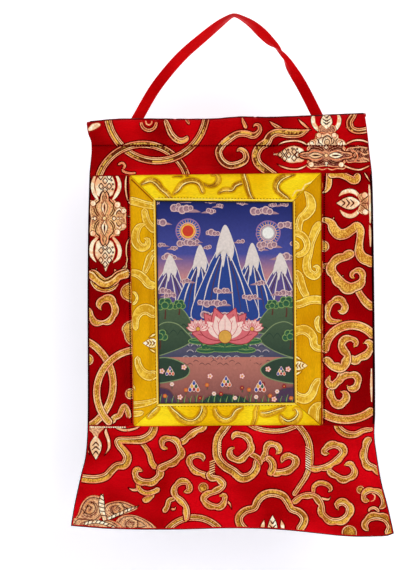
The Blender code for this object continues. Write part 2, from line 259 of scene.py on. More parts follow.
class Graph:
    """Short way to add nodes to a material: add() makes one and wires or sets its inputs."""

    def __init__(self, name, roughness):
        self.material = bpy.data.materials.new(name)
        self.material.use_nodes = True
        self.tree = self.material.node_tree
        self.shader = self.tree.nodes["Principled BSDF"]
        self.shader.inputs["Roughness"].default_value = roughness
        self.shader.inputs["Metallic"].default_value = 0
        self.place = self.tree.nodes.new("ShaderNodeTexCoord").outputs["Object"]

    def put(self, socket, value):
        if isinstance(value, bpy.types.NodeSocket):
            self.tree.links.new(value, socket)
        else:
            socket.default_value = value

    def add(self, kind, output=0, settings=None, **inputs):
        node = self.tree.nodes.new(kind)
        for key, value in (settings or {}).items():
            setattr(node, key, value)
        for key, value in inputs.items():
            self.put(node.inputs[key.replace("_", " ")], value)
        return node.outputs[output]

    def scaled(self, across, depth, down):
        """Cloth coordinates times a number of repeats for each metre, one for each axis."""
        return self.add("ShaderNodeMapping", Vector=self.place, Scale=(across, depth, down))

    def noise(self, scale, detail=2.0, stretch=(1, 1, 1)):
        vector = self.scaled(*(scale * side for side in stretch))
        return self.add("ShaderNodeTexNoise", Vector=vector, Scale=1.0, Detail=detail)

    def lines(self, direction, repeats, distortion=0.0):
        """Stripes across X, Z or the DIAGONAL, this many repeats a metre."""
        vector = self.scaled(repeats, repeats, repeats)
        settings = {"wave_type": "BANDS", "bands_direction": direction, "wave_profile": "SIN"}
        return self.add(
            "ShaderNodeTexWave", 1, settings, Vector=vector, Scale=WAVE_UNIT, Distortion=distortion,
        )

    def combine(self, operation, first, second):
        """One value from two by a math node's operation."""
        made = self.add("ShaderNodeMath", settings={"operation": operation}, Value=first)
        self.put(made.node.inputs[1], second)
        return made

    def mix(self, share, first, second):
        """Colour between first and second."""
        node = self.tree.nodes.new("ShaderNodeMix")
        node.data_type = "RGBA"
        self.put(node.inputs[0], share)
        self.put(node.inputs[6], first)
        self.put(node.inputs[7], second)
        return node.outputs[2]

    def span(self, value, low, high, to_low=0.0, to_high=1.0):
        return self.add(
            "ShaderNodeMapRange", Value=value, From_Min=low, From_Max=high, To_Min=to_low,
            To_Max=to_high,
        )

    def finish(self, base, height, depth, roughness=None):
        """Wire the colour, a bump of this depth in metres and a varying roughness."""
        self.put(self.shader.inputs["Base Color"], base)
        if roughness is not None:
            self.put(self.shader.inputs["Roughness"], roughness)
        bump = self.add("ShaderNodeBump", Height=height, Distance=depth, Strength=1.0)
        self.put(self.shader.inputs["Normal"], bump)
        return self.material


# Blender's wave texture repeats every 0.314 units at scale 1
WAVE_UNIT = 0.314

# Depth in metres of each surface's bump
SATIN_BUMP = 0.00006
THREAD_BUMP = 0.00016
FILIGREE_BUMP = 0.00012
PLAIN_BUMP = 0.00005

# Repeats a metre of a satin's long floats, of its clouds and fine streaks, and of its weft
FLOATS = 2600
CLOUDS = 17
STREAKS = 120
WEFT = 2200


def colour(red, green, blue):
    """Linear colour from sRGB numbers of 0 to 255."""
    return (
        *[
            channel / 255 * (channel / 255 * (channel / 255 * 0.305 + 0.682) + 0.0125)
            for channel in (red, green, blue)
        ],
        1,
    )


def satin(name, bright, deep, streak, roughness=0.44, sheen=0.25):
    """Satin ground: long floats along one way, with soft clouds of deeper colour."""
    graph = Graph(name, roughness)
    stretch = (0.12, 1, 1) if streak == "X" else (1, 1, 0.12)
    floats = graph.noise(FLOATS, 3, stretch)
    clouds = graph.noise(CLOUDS, 2)
    fine = graph.noise(STREAKS, 2, stretch)
    share = graph.span(clouds, 0.36, 0.64)
    base = graph.mix(share, deep, bright)
    shade = graph.span(floats, 0.3, 0.7, 0.84, 1.12)
    soft = graph.span(fine, 0.3, 0.7, 0.93, 1.06)
    product = graph.combine("MULTIPLY", shade, soft)
    tint = graph.add("ShaderNodeCombineColor", Red=product, Green=product, Blue=product)
    node = graph.tree.nodes.new("ShaderNodeMix")
    node.data_type = "RGBA"
    node.blend_type = "MULTIPLY"
    node.inputs[0].default_value = 1.0
    graph.put(node.inputs[6], base)
    graph.put(node.inputs[7], tint)
    graph.shader.inputs["Sheen Weight"].default_value = sheen
    graph.shader.inputs["Sheen Roughness"].default_value = 0.37
    graph.shader.inputs["Sheen Tint"].default_value = bright
    graph.shader.inputs["Specular IOR Level"].default_value = 0.16
    graph.shader.inputs["Specular Tint"].default_value = bright
    graph.shader.inputs["Anisotropic"].default_value = 0.5
    across = graph.lines("X" if streak == "Z" else "Z", WEFT, 0.6)
    height = graph.combine("ADD", across, floats)
    rough = graph.span(fine, 0.3, 0.7, roughness - 0.06, roughness + 0.08)
    return graph.finish(node.outputs[2], height, SATIN_BUMP, rough)


def thread(name, bright, deep, fleck=520, patch=60, roughness=0.5, ripple_share=0.25, patchy=0.45):
    """Brocade thread: flecks where the thread dips under, and stretches of deeper colour."""
    graph = Graph(name, roughness)
    flecks = graph.noise(fleck, 3, (1, 1, 0.8))
    patches = graph.noise(patch, 2)
    mixed = graph.combine(
        "ADD", graph.span(flecks, 0.36, 0.66), graph.span(patches, 0.40, 0.60, -patchy, patchy),
    )
    base = graph.mix(graph.span(mixed, 0.15, 0.95), deep, bright)
    floats = graph.lines("DIAGONAL", 1500, 2.0)
    height = graph.combine("ADD", flecks, graph.span(floats, 0.0, 1.0, 0.0, ripple_share))
    graph.shader.inputs["Specular IOR Level"].default_value = 0.3
    graph.shader.inputs["Specular Tint"].default_value = bright
    return graph.finish(base, height, THREAD_BUMP)


def filigree(name, bright, deep, coils=620, roughness=0.5):
    """Copper brocade: fine curled lines of light thread over a deep ground."""
    graph = Graph(name, roughness)
    curls = graph.lines("DIAGONAL", coils, 9.0)
    flecks = graph.noise(640, 3)
    patches = graph.noise(70, 2)
    mixed = graph.combine(
        "ADD", graph.span(flecks, 0.35, 0.68, 0.0, 0.75), graph.span(curls, 0.3, 0.9, 0.0, 0.35),
    )
    lifted = graph.combine("ADD", mixed, graph.span(patches, 0.36, 0.64, -0.35, 0.25))
    base = graph.mix(graph.span(lifted, 0.1, 0.95), deep, bright)
    graph.shader.inputs["Specular IOR Level"].default_value = 0.3
    return graph.finish(base, mixed, FILIGREE_BUMP)


def plain_weave(name, bright, deep, repeats=1400, roughness=0.8, depth=PLAIN_BUMP):
    """Plain cloth: a fine over and under weave, in two close colours."""
    graph = Graph(name, roughness)
    warp = graph.lines("X", repeats, 0.4)
    weft = graph.lines("Z", repeats, 0.4)
    height = graph.combine("MULTIPLY", warp, weft)
    clouds = graph.noise(60, 3)
    share = graph.span(clouds, 0.3, 0.7)
    return graph.finish(graph.mix(share, deep, bright), height, depth)


RED = satin("satin_red_ground", colour(212, 9, 21), colour(166, 2, 10), "X")
HEADING_RED = satin("heading_red_ground", colour(206, 9, 17), colour(146, 2, 8), "X")
# The red side strips are the heading's and skirt's satin turned on its side; their darker red is painted
# shade for the sheen it loses that way.
SIDE_RED = satin("side_red_ground", colour(172, 4, 12), colour(134, 0, 8), "Z", 0.5, 0.15)
YELLOW = satin("yellow_light_ground", colour(255, 224, 34), colour(240, 188, 14), "X")
# The yellow side strips are the top strip's satin turned on its side; their darker yellow is painted shade
# for the sheen it loses that way.
SIDE_YELLOW = satin("yellow_side_ground_painted_shade", colour(230, 170, 16), colour(204, 138, 10), "Z", 0.5, 0.15)
RIBBON = satin("ribbon_satin", colour(214, 14, 18), colour(178, 4, 10), "X", 0.36, 0.2)
LINING = plain_weave("lining_cloth", colour(34, 8, 10), colour(18, 4, 6), 1600, 0.9)

# Threads of each brocade: the key is the stripe's name in the styles below. The "shade" stripe is no thread
# but painted shadow round the raised motifs.
RED_THREADS = {
    "shade": satin("red_shade", colour(108, 2, 6), colour(82, 0, 3), "X"),
    "edge": thread("peach_edge", colour(255, 190, 138), colour(238, 132, 86), 900, 90),
    "brown": thread("brown_line", colour(90, 26, 8), colour(54, 8, 4), 900, 60),
    "pale": thread("pale_line", colour(252, 208, 150), colour(234, 162, 98), 260, 60, ripple_share=0.0),
    "gold": thread("gold_fill", colour(242, 182, 78), colour(98, 30, 16), 620, 44, patchy=0.8),
    "cream": thread("cream_fill", colour(255, 248, 216), colour(240, 190, 140), 520, 90),
    "copper": filigree("copper_fill", colour(226, 154, 108), colour(106, 28, 24)),
    # Stitch thread, also drawn as painted shade along the heading's top edge
    "seam": satin("red_seam_thread_and_rim_shade", colour(96, 6, 10), colour(60, 0, 4), "X"),
    "blush": thread("pink_selvedge", colour(250, 168, 130), colour(226, 110, 84), 700, 90),
}
# The red side strips' brocade, turned on its side: its darker shade and seam colours are painted shade, its
# lighter gold, edge and copper painted highlight
SIDE_THREADS = {
    "shade": satin("side_shade", colour(84, 1, 4), colour(60, 0, 2), "Z"),
    "edge": thread("side_peach_edge", colour(255, 204, 150), colour(246, 150, 104), 900, 90),
    "brown": thread("side_brown_line", colour(106, 36, 12), colour(64, 12, 5), 900, 60),
    "pale": thread(
        "side_pale_line", colour(255, 234, 180), colour(240, 190, 120), 260, 60, ripple_share=0.0,
    ),
    "gold": thread("side_gold_fill", colour(250, 198, 88), colour(186, 112, 30), 820, 90, patchy=0.2),
    "cream": thread("side_cream_fill", colour(255, 242, 208), colour(246, 190, 140), 520, 90),
    "copper": filigree("side_copper_fill", colour(250, 200, 130), colour(168, 88, 52)),
    # Stitch and hem thread, also drawn as painted shade down the strips' outer edges
    "seam": satin("side_seam_thread_and_rim_shade", colour(40, 4, 6), colour(24, 0, 2), "Z"),
    "blush": thread("side_pink_selvedge", colour(222, 132, 56), colour(168, 62, 24), 300, 200),
}
SKIRT_THREADS = dict(RED_THREADS)
SKIRT_THREADS["gold"] = thread(
    "skirt_gold_fill", colour(238, 182, 72), colour(150, 84, 24), 820, 60, patchy=0.3,
)
SKIRT_THREADS["copper"] = filigree("skirt_copper_fill", colour(248, 196, 142), colour(160, 84, 54))
YELLOW_THREADS = {
    "shade": satin("yellow_shade", colour(226, 174, 10), colour(204, 146, 8), "X"),
    "edge": thread("olive_edge", colour(220, 166, 44), colour(150, 92, 18), 900, 60),
    "brown": thread("olive_brown_line", colour(106, 56, 10), colour(70, 32, 4), 900, 60),
    "pale": thread("olive_pale_line", colour(255, 240, 160), colour(246, 206, 104), 600, 110),
    "gold": thread("olive_gold_fill", colour(236, 186, 56), colour(172, 114, 22), 620, 60),
    "cream": thread("yellow_cream_fill", colour(255, 244, 200), colour(244, 210, 130), 500, 90),
    "copper": thread("yellow_copper_fill", colour(220, 170, 74), colour(158, 104, 30), 500, 90),
    "seam": satin("yellow_seam_thread", colour(126, 66, 10), colour(88, 40, 6), "X"),
    # The frame's light line on its rolled inner edge: painted highlight
    "blush": satin("yellow_edge_painted_highlight", colour(255, 236, 120), colour(250, 214, 70), "X"),
}
LOWER_YELLOW_THREADS = dict(YELLOW_THREADS)
LOWER_YELLOW_THREADS["gold"] = thread(
    "lower_gold_fill", colour(246, 202, 62), colour(208, 154, 30), 620, 60,
)
LOWER_YELLOW_THREADS["edge"] = thread(
    "lower_olive_edge", colour(232, 178, 50), colour(186, 128, 22), 900, 60,
)
# The yellow side strips' brocade, the top strip's turned on its side: its lighter edge, lines and fill are
# painted highlight, its darker shade painted shade
SIDE_YELLOW_THREADS = {
    "shade": satin("deep_yellow_shade", colour(176, 112, 6), colour(150, 90, 4), "Z"),
    "edge": thread("straw_edge", colour(255, 234, 130), colour(244, 200, 80), 900, 90),
    "brown": thread("straw_brown_line", colour(160, 98, 12), colour(122, 68, 8), 900, 60),
    "pale": thread("straw_pale_line", colour(255, 240, 150), colour(244, 208, 100), 600, 110),
    "gold": thread("straw_gold_fill", colour(244, 202, 70), colour(208, 152, 32), 420, 60),
    "cream": thread("straw_cream_fill", colour(255, 252, 228), colour(252, 228, 160), 500, 90),
    "copper": thread("straw_copper_fill", colour(240, 196, 90), colour(206, 152, 44), 500, 90),
    "seam": satin("deep_yellow_seam_thread", colour(150, 76, 14), colour(112, 46, 8), "Z"),
    # The frame's light line on its rolled inner edge: painted highlight
    "blush": satin("deep_yellow_edge_painted_highlight", colour(255, 228, 110), colour(244, 200, 60), "Z"),
}


SHARP_ANGLE = math.radians(40)


def add_object(name, shape, surfaces, smooth=True):
    """Object from a bmesh, with its materials in the order that its faces count them."""
    mesh = bpy.data.meshes.new(name)
    shape.to_mesh(mesh)
    shape.free()
    for surface in surfaces:
        mesh.materials.append(surface)
    if smooth:
        mesh.shade_smooth()
        mesh.set_sharp_from_angle(angle=SHARP_ANGLE)
    made = bpy.data.objects.new(name, mesh)
    bpy.context.collection.objects.link(made)
    return made


def add_body(name, back, front, surfaces):
    """Closed body between two grids of world points, back and front, of the same shape."""
    shape = bmesh.new()
    grids = [[[shape.verts.new(point) for point in row] for row in grid] for grid in (back, front)]
    rows = len(back)
    columns = len(back[0])
    for r in range(rows - 1):
        for c in range(columns - 1):
            for grid in grids:
                corners = (grid[r][c], grid[r][c + 1], grid[r + 1][c + 1], grid[r + 1][c])
                shape.faces.new(corners)
    rim = [(0, c) for c in range(columns)]
    rim += [(r, columns - 1) for r in range(1, rows)]
    rim += [(rows - 1, c) for c in range(columns - 2, -1, -1)]
    rim += [(r, 0) for r in range(rows - 2, 0, -1)]
    for (r0, c0), (r1, c1) in zip(rim, rim[1:] + rim[:1]):
        shape.faces.new((grids[0][r0][c0], grids[0][r1][c1], grids[1][r1][c1], grids[1][r0][c0]))
    bmesh.ops.recalc_face_normals(shape, faces=shape.faces)
    return add_object(name, shape, surfaces)


# How far a sheet's face falls back on its rim and on the line next to it
RIM_ROLL = 0.34
NEXT_ROLL = 0.06


def edge_roll(index, last):
    """How far a sheet's face falls back near its rim, where the cloth is turned under."""
    from_rim = min(index, last - index)
    return RIM_ROLL if from_rim == 0 else NEXT_ROLL if from_rim == 1 else 0.0


def add_sheet(name, places, point, surfaces, thick=THICK):
    """Sheet of cloth over a grid of places (x, drop), with its face on point(x, drop, 0)."""
    rows = len(places) - 1
    columns = len(places[0]) - 1
    front = []
    back = []
    for r, row in enumerate(places):
        front_row = []
        for c, (x, drop) in enumerate(row):
            roll = max(edge_roll(r, rows), edge_roll(c, columns))
            front_row.append(point(x, drop, -roll))
        front.append(front_row)
        back.append([point(x, drop, -thick) for x, drop in row])
    return add_body(name, back, front, surfaces)


# Distance of the line next to a sheet's rim, and the pitch of its other lines
RIM_LINE = 0.7
PITCH = 2.4
FINE_PITCH = 0.85


def rim_spread(length, pitch=PITCH, fine=()):
    """Shares along a length: one line close to each end, the others at a pitch.

    Between the places (start, end) in fine, the lines lie at FINE_PITCH.
    """
    stops = [0.0, RIM_LINE]
    for first, last in (*fine, (length - RIM_LINE, length)):
        cells = max(math.ceil((first - stops[-1]) / pitch), 1)
        stops += spread(stops[-1], first, cells)[1:]
        cells = max(math.ceil((last - first) / FINE_PITCH), 1)
        stops += spread(first, last, cells)[1:]
    return [stop / length for stop in stops]


def lap_zone(line):
    """Stretch of a sheet that holds its climb onto another sheet's edge at line."""
    return line - LAP_CLEAR - LAP_RUN - LAP_SPARE, line + LAP_SPARE


def lap_columns(left, right, frame_left, frame_right, pitch=PITCH):
    """Shares across a wide sheet, fine where it climbs onto the frame's left and right."""
    first = lap_zone(frame_left)
    last = tuple(2 * frame_right - stop for stop in lap_zone(frame_right))[::-1]
    zones = [(start - left, end - left) for start, end in (first, last)]
    return rim_spread(right - left, pitch, zones)


def declare(piece, node, trims=()):
    """Ride a sheet on the scroll, in place of its solid, with the trims that lie on it."""
    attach(piece, "root")
    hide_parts(node)
    for trim in trims:
        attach(trim, "root")


# Stripes of a woven motif from its inner edge to its outer one: thread and width. A width of
# None is the fill, which takes what is left. Any other style is one stripe of its own name.
# The outer "shade" stripes are painted shadow round the raised motif, in a darker ground colour.
STYLES = {
    "scroll": (
        ("shade", 1.2),
        ("edge", 1.0),
        ("brown", 0.6),
        ("pale", 1.1),
        ("brown", 0.8),
        ("gold", None),
        ("edge", 1.1),
        ("shade", 1.2),
    ),
    "plain": (
        ("shade", 1.2),
        ("edge", 1.0),
        ("brown", 0.4),
        ("gold", None),
        ("edge", 1.0),
        ("shade", 1.2),
    ),
    "veined": (
        ("shade", 0.6),
        ("edge", 1.0),
        ("gold", 1.0),
        ("pale", 0.55),
        ("gold", None),
        ("edge", 1.1),
        ("shade", 0.6),
    ),
    "ring": (
        ("shade", 1.2),
        ("edge", 0.9),
        ("brown", 0.6),
        ("pale", 0.9),
        ("brown", 0.9),
        ("gold", None),
        ("brown", 0.5),
        ("edge", 1.0),
        ("shade", 1.2),
    ),
    "cream": (("shade", 1.05), ("edge", 0.5), ("cream", None), ("edge", 0.5), ("shade", 1.05)),
    "blush": (("shade", 1.05), ("edge", None), ("shade", 1.05)),
    "eye": (("brown", 0.7), ("cream", None), ("brown", 0.7)),
    "rim": (("edge", 0.5), ("cream", None), ("brown", 0.6)),
    "line": (("brown", None),),
    # Stitch, seam and hem lines; also painted shade drawn along rims
    "seam_line": (("seam", None),),
    "blush_line": (("blush", None),),
    "pale_line": (("pale", None),),
    "cream_line": (("cream", None),),
    "edge_line": (("edge", None),),
    "gap": (("shade", None),),
}
STYLES["lobed"] = STYLES["scroll"]
STYLES["broad"] = (
    ("shade", 1.05),
    ("edge", 1.3),
    ("brown", 0.35),
    ("gold", None),
    ("brown", 0.35),
    ("gold", 0.8),
    ("brown", 0.3),
    ("edge", 1.3),
    ("shade", 1.05),
)
STYLES["knobby"] = STYLES["broad"]
STYLES["hoop"] = (
    ("shade", 1.05),
    ("edge", 1.4),
    ("brown", 0.35),
    ("gold", 1.3),
    ("brown", 0.3),
    ("gold", None),
    ("brown", 0.3),
    ("edge", 1.4),
    ("shade", 1.05),
)
THREAD_NAMES = ("shade", "edge", "brown", "pale", "gold", "cream", "copper", "seam", "blush")

# Sampling of a motif's line: distance of its places, and degrees between those of an arc
STATION = 1.3
ARC_STEP = 15

# Width from which a band's fill is cut lengthwise into cells, and their number
WIDE_FROM = 4.5
WIDE_CELLS = 3

# Share of a bend's radius that a band may reach into its hollow, less a share of the inset
HOLLOW_REACH = 0.9
HOLLOW_INSET = 0.5

# Heights of a motif's threads over the ground, and growth of some styles over their tables
LEVEL_HEIGHT = 0.10
FIRST_HEIGHT = 0.05
SCROLL_GROWTH = 1.08
SCROLL_MARGIN = 0.5
LOBED_GROWTH = 0.91
BROAD_GROWTH = {"broad": 1.2, "knobby": 1.08, "hoop": 1.16}
LOBE_HIGH = 1.7
LOBE_LONG = 12.5
SHOULDER = 0.05
ROOT = -0.12
PATCH_RING = 2.2


def smooth_line(points):
    """Places along a smooth curve through points (x, drop, width), about STATION apart."""
    closed = math.hypot(points[0][0] - points[-1][0], points[0][1] - points[-1][1]) < 0.01
    line = []
    last = len(points) - 1
    for index in range(last):
        p1, p2 = points[index], points[index + 1]
        p0 = points[index - 1] if index else (points[last - 1] if closed else p1)
        p3 = points[index + 2] if index < last - 1 else (points[1] if closed else p2)
        length = math.hypot(p2[0] - p1[0], p2[1] - p1[1])
        cells = max(round(length / STATION), 1)
        for step in range(cells):
            t = step / cells
            line.append(tuple(
                0.5 * (
                    2 * b
                    + (c - a) * t
                    + (2 * a - 5 * b + 4 * c - d) * t * t
                    + (3 * b - a - 3 * c + d) * t ** 3
                )
                for a, b, c, d in zip(p0, p1, p2, p3)
            ))
    line.append(points[-1])
    return line


def arc(x, drop, radius, first, last, width):
    """Line of points on a circle, its angles in degrees from the right, turning downwards."""
    cells = max(round(abs(last - first) / ARC_STEP), 2)
    return [
        (
            x + radius * math.cos(math.radians(angle)),
            drop + radius * math.sin(math.radians(angle)),
            width,
        )
        for angle in spread(first, last, cells)
    ]


def circle(x, drop, radius):
    """Closed outline of a disc."""
    return [(px, pd) for px, pd, zero in arc(x, drop, radius, 0, 360, 0)[:-1]]


class Weave:
    """The woven motifs of one piece of cloth, drawn flat over x, drop and height, then laid on it."""

    def __init__(
        self, names=THREAD_NAMES, first=FIRST_HEIGHT, step=LEVEL_HEIGHT, shoulder=SHOULDER, root=ROOT,
    ):
        self.shape = bmesh.new()
        self.names = names
        self.first = first
        self.step = step
        self.shoulder = shoulder
        self.root = root

    def face(self, corners, yarn):
        self.shape.faces.new(corners).material_index = self.names.index(yarn)

    def band(self, style, level, points, ends="round"):
        """Motif along a line of points (x, drop, width), striped across as its style says.

        The style's first stripe lies on the hollow side of the line's bend. A level may be a pair,
        for the line's start and its end.
        """
        line = smooth_line(points)
        count = len(line)
        spots = [Vector((x, drop)) for x, drop, width in line]
        lengths = [0.0]
        for first, second in zip(spots, spots[1:]):
            lengths.append(lengths[-1] + (second - first).length)
        total = lengths[-1]
        bends = [self.bend(spots, index) for index in range(count)]
        stripes = STYLES.get(style, ((style, None),))
        outside_left = sum(bends) > 0
        if outside_left:
            stripes = stripes[::-1]
        threads = [yarn for yarn, wide in stripes]
        fill = [wide for yarn, wide in stripes].index(None)
        insets = ([0.0], [0.0])
        for yarn, wide in stripes[:fill]:
            insets[0].append(insets[0][-1] + wide)
        for yarn, wide in stripes[:fill:-1]:
            insets[1].append(insets[1][-1] + wide)
        levels = level if isinstance(level, tuple) else (level, level)
        fill_cells = 1 if max(width for x, drop, width in points) < WIDE_FROM else WIDE_CELLS
        rows = []
        for index in range(count):
            ahead = spots[min(index + 1, count - 1)] - spots[max(index - 1, 0)]
            run = ahead.normalized() if ahead.length else Vector((1, 0))
            side = Vector((-run.y, run.x))
            half = max(line[index][2] / 2, 0.05)
            if style == "scroll":
                half = half * SCROLL_GROWTH + SCROLL_MARGIN
            elif style == "lobed":
                half = half * LOBED_GROWTH + SCROLL_MARGIN
            elif style in ("broad", "knobby", "hoop"):
                half *= BROAD_GROWTH[style]
            from_end = min(lengths[index], total - lengths[index]) if ends == "round" else half
            bend = bends[index]
            hollow = (max(-bend, 0), max(bend, 0))
            lobe = 0.0
            if style in ("lobed", "knobby"):
                lobe = LOBE_HIGH * abs(math.sin(math.pi * lengths[index] / LOBE_LONG))
            bumps = (lobe, 0) if outside_left else (0, lobe)
            left = [-half_width(half, inset, from_end, hollow[0]) - bumps[0] for inset in insets[0]]
            right = [half_width(half, inset, from_end, hollow[1]) + bumps[1] for inset in insets[1]]
            offsets = left + right[::-1]
            base = self.first + self.step * blend(levels[0], levels[1], lengths[index] / total)
            offsets[fill:fill + 2] = spread(offsets[fill], offsets[fill + 1], fill_cells)
            heights = [base] * len(offsets)
            if len(stripes) > 1:
                heights[0] = heights[-1] = base - self.shoulder
            offsets = [offsets[0]] + offsets + [offsets[-1]]
            heights = [self.root] + heights + [self.root]
            row = []
            for offset, height in zip(offsets, heights):
                point = spots[index] + side * offset
                row.append(self.shape.verts.new((point.x, point.y, height)))
            rows.append(row)
        threads[fill:fill + 1] = [threads[fill]] * fill_cells
        threads = [threads[0]] + threads + [threads[-1]]
        for first, second in zip(rows, rows[1:]):
            for place, yarn in enumerate(threads):
                corners = (first[place], first[place + 1], second[place + 1], second[place])
                self.face(corners, yarn)

    def bands(self, rows):
        for row in rows:
            self.band(*row)

    def bend(self, spots, index):
        """Signed curvature of a line at one of its points."""
        if index in (0, len(spots) - 1):
            return 0.0
        before = spots[index] - spots[index - 1]
        after = spots[index + 1] - spots[index]
        span = (before.length + after.length) / 2
        turn = math.atan2(before.x * after.y - before.y * after.x, before.dot(after))
        return turn / span if span > 1e-6 else 0.0

    def patch(self, level, outline, stripes):
        """Filled motif inside a closed outline of (x, drop), striped inwards from its rim."""
        line = smooth_line([(x, drop, 0) for x, drop in (*outline, outline[0])])[:-1]
        spots = [Vector((x, drop)) for x, drop, zero in line]
        count = len(spots)
        middle = sum(spots, Vector((0, 0))) / count
        area = sum(a.x * b.y - a.y * b.x for a, b in zip(spots, spots[1:] + spots[:1]))
        turn = 1 if area > 0 else -1
        base = self.first + self.step * level
        rows = [[(spot, self.root) for spot in spots], [(spot, base - self.shoulder) for spot in spots]]
        inset = 0.0
        threads = [stripes[0][0]]
        for yarn, wide in stripes[:-1]:
            inset += wide
            row = []
            for index, spot in enumerate(spots):
                run = (spots[(index + 1) % count] - spots[index - 1]).normalized()
                row.append((spot + Vector((-run.y, run.x)) * turn * inset, base))
            rows.append(row)
            threads.append(yarn)
        rim = rows[-1]
        reach = max((spot - middle).length for spot in spots)
        for share in spread(0, 1, max(round(reach / PATCH_RING), 1))[1:-1]:
            rows.append([(spot.lerp(middle, share), base) for spot, height in rim])
            threads.append(stripes[-1][0])
        made = [[self.shape.verts.new((*spot, height)) for spot, height in row] for row in rows]
        centre = self.shape.verts.new((*middle, base))
        for outer, inner, yarn in zip(made, made[1:], threads):
            for index in range(count):
                corners = [outer[index - 1], inner[index - 1], inner[index], outer[index]]
                self.face(corners if turn > 0 else corners[::-1], yarn)
        for index in range(count):
            corners = [made[-1][index - 1], centre, made[-1][index]]
            self.face(corners if turn > 0 else corners[::-1], stripes[-1][0])

    # A dot's default outer "shade" ring is painted shadow round it.
    def dot(self, level, x, drop, radius, stripes=(("shade", 0.4), ("edge", 0.6), ("cream", None))):
        """Round boss."""
        self.patch(level, circle(x, drop, radius), stripes)

    def petal(self, style, level, start, end, wide):
        """Pointed petal from start to end, widest a little before its middle."""
        points = []
        for share, part in ((0, 0.05), (0.2, 0.72), (0.42, 1), (0.7, 0.72), (1, 0.03)):
            points.append((blend(start[0], end[0], share), blend(start[1], end[1], share), wide * part))
        self.band(style, level, points, ends="point")

    def bud(self, level, base, tip, wide):
        """Lotus bud with dark chevrons, pointed at its tip."""
        self.petal("blush", level, base, tip, wide)
        run = Vector(tip) - Vector(base)
        side = Vector((-run.y, run.x)).normalized() * wide / 2
        self.petal("cream_line", level + 0.4, base, Vector(base) + run * 0.96, wide * 0.84)
        for share, reach in ((0.26, 0.5), (0.44, 0.6), (0.62, 0.42)):
            apex = Vector(base) + run * share
            for way in (-1, 1):
                end = apex + run * 0.15 + side * way * reach
                self.band("line", level + 0.8, ((*apex, 1.7), (*end, 0.7)), ends="point")

    def stitches(self, points, pitch, long, wide, style="seam_line", level=7):
        """Row of short stitches along a line of points (x, drop)."""
        spots = [Vector((x, drop)) for x, drop in points]
        for first, second in zip(spots, spots[1:]):
            run = second - first
            count = max(round(run.length / pitch), 1)
            half = run.normalized() * long / 2
            for index in range(count):
                middle = first + run * (index + 0.5) / count
                self.band(style, level, (
                    (*(middle - half), wide), (*(middle + half), wide),
                ), ends="cut")

    def lattice(self, level, x, drop, wide, high, thick=0.9):
        """Diamond outline of dark thread."""
        corners = (
            (x - wide / 2, drop), (x, drop - high / 2), (x + wide / 2, drop), (x, drop + high / 2),
        )
        for first, second in zip(corners, corners[1:] + corners[:1]):
            self.band("line", level, ((*first, thick), (*second, thick)), ends="cut")

    def clip(self, edges):
        """Cut the drawing off past each edge: (axis, edge function, side that goes)."""
        for axis, edge, side in edges:
            other = 1 - axis
            for vertex in self.shape.verts:
                vertex.co[axis] -= edge(vertex.co[other])
            normal = [0, 0, 0]
            normal[axis] = side
            parts = self.shape.verts[:] + self.shape.edges[:] + self.shape.faces[:]
            bmesh.ops.bisect_plane(
                self.shape, geom=parts, dist=1e-5, plane_co=(0, 0, 0), plane_no=normal,
                clear_outer=True,
            )
            for vertex in self.shape.verts:
                vertex.co[axis] += edge(vertex.co[other])

    def lay(self, name, point, threads):
        """Lay the drawing on the cloth whose face is point(x, drop, height)."""
        for vertex in self.shape.verts:
            vertex.co = point(*vertex.co)
        return add_object(name, self.shape, [threads[yarn] for yarn in self.names])


def half_width(half, inset, from_end, hollow):
    """Half width of a band at an inset from its edge, drawn in at its ends and hollow bends."""
    if from_end < half:
        reach = (half - inset) ** 2 - (half - from_end) ** 2 if inset < half else 0
        wide = math.sqrt(max(reach, 0))
    else:
        wide = max(half - inset, 0)
    if hollow > 1e-6:
        wide = min(wide, max(HOLLOW_REACH / hollow - inset * HOLLOW_INSET, 0))
    return wide


# Stripes of filled motifs, from the rim inwards; the outer "shade" stripe is painted shadow round the motif
COPPER_BODY = (("shade", 0.5), ("edge", 0.9), ("copper", None))
CREAM_BODY = (("shade", 0.4), ("edge", 0.7), ("cream", None))
GOLD_BODY = (("shade", 0.5), ("edge", 1.0), ("brown", 0.6), ("gold", None))

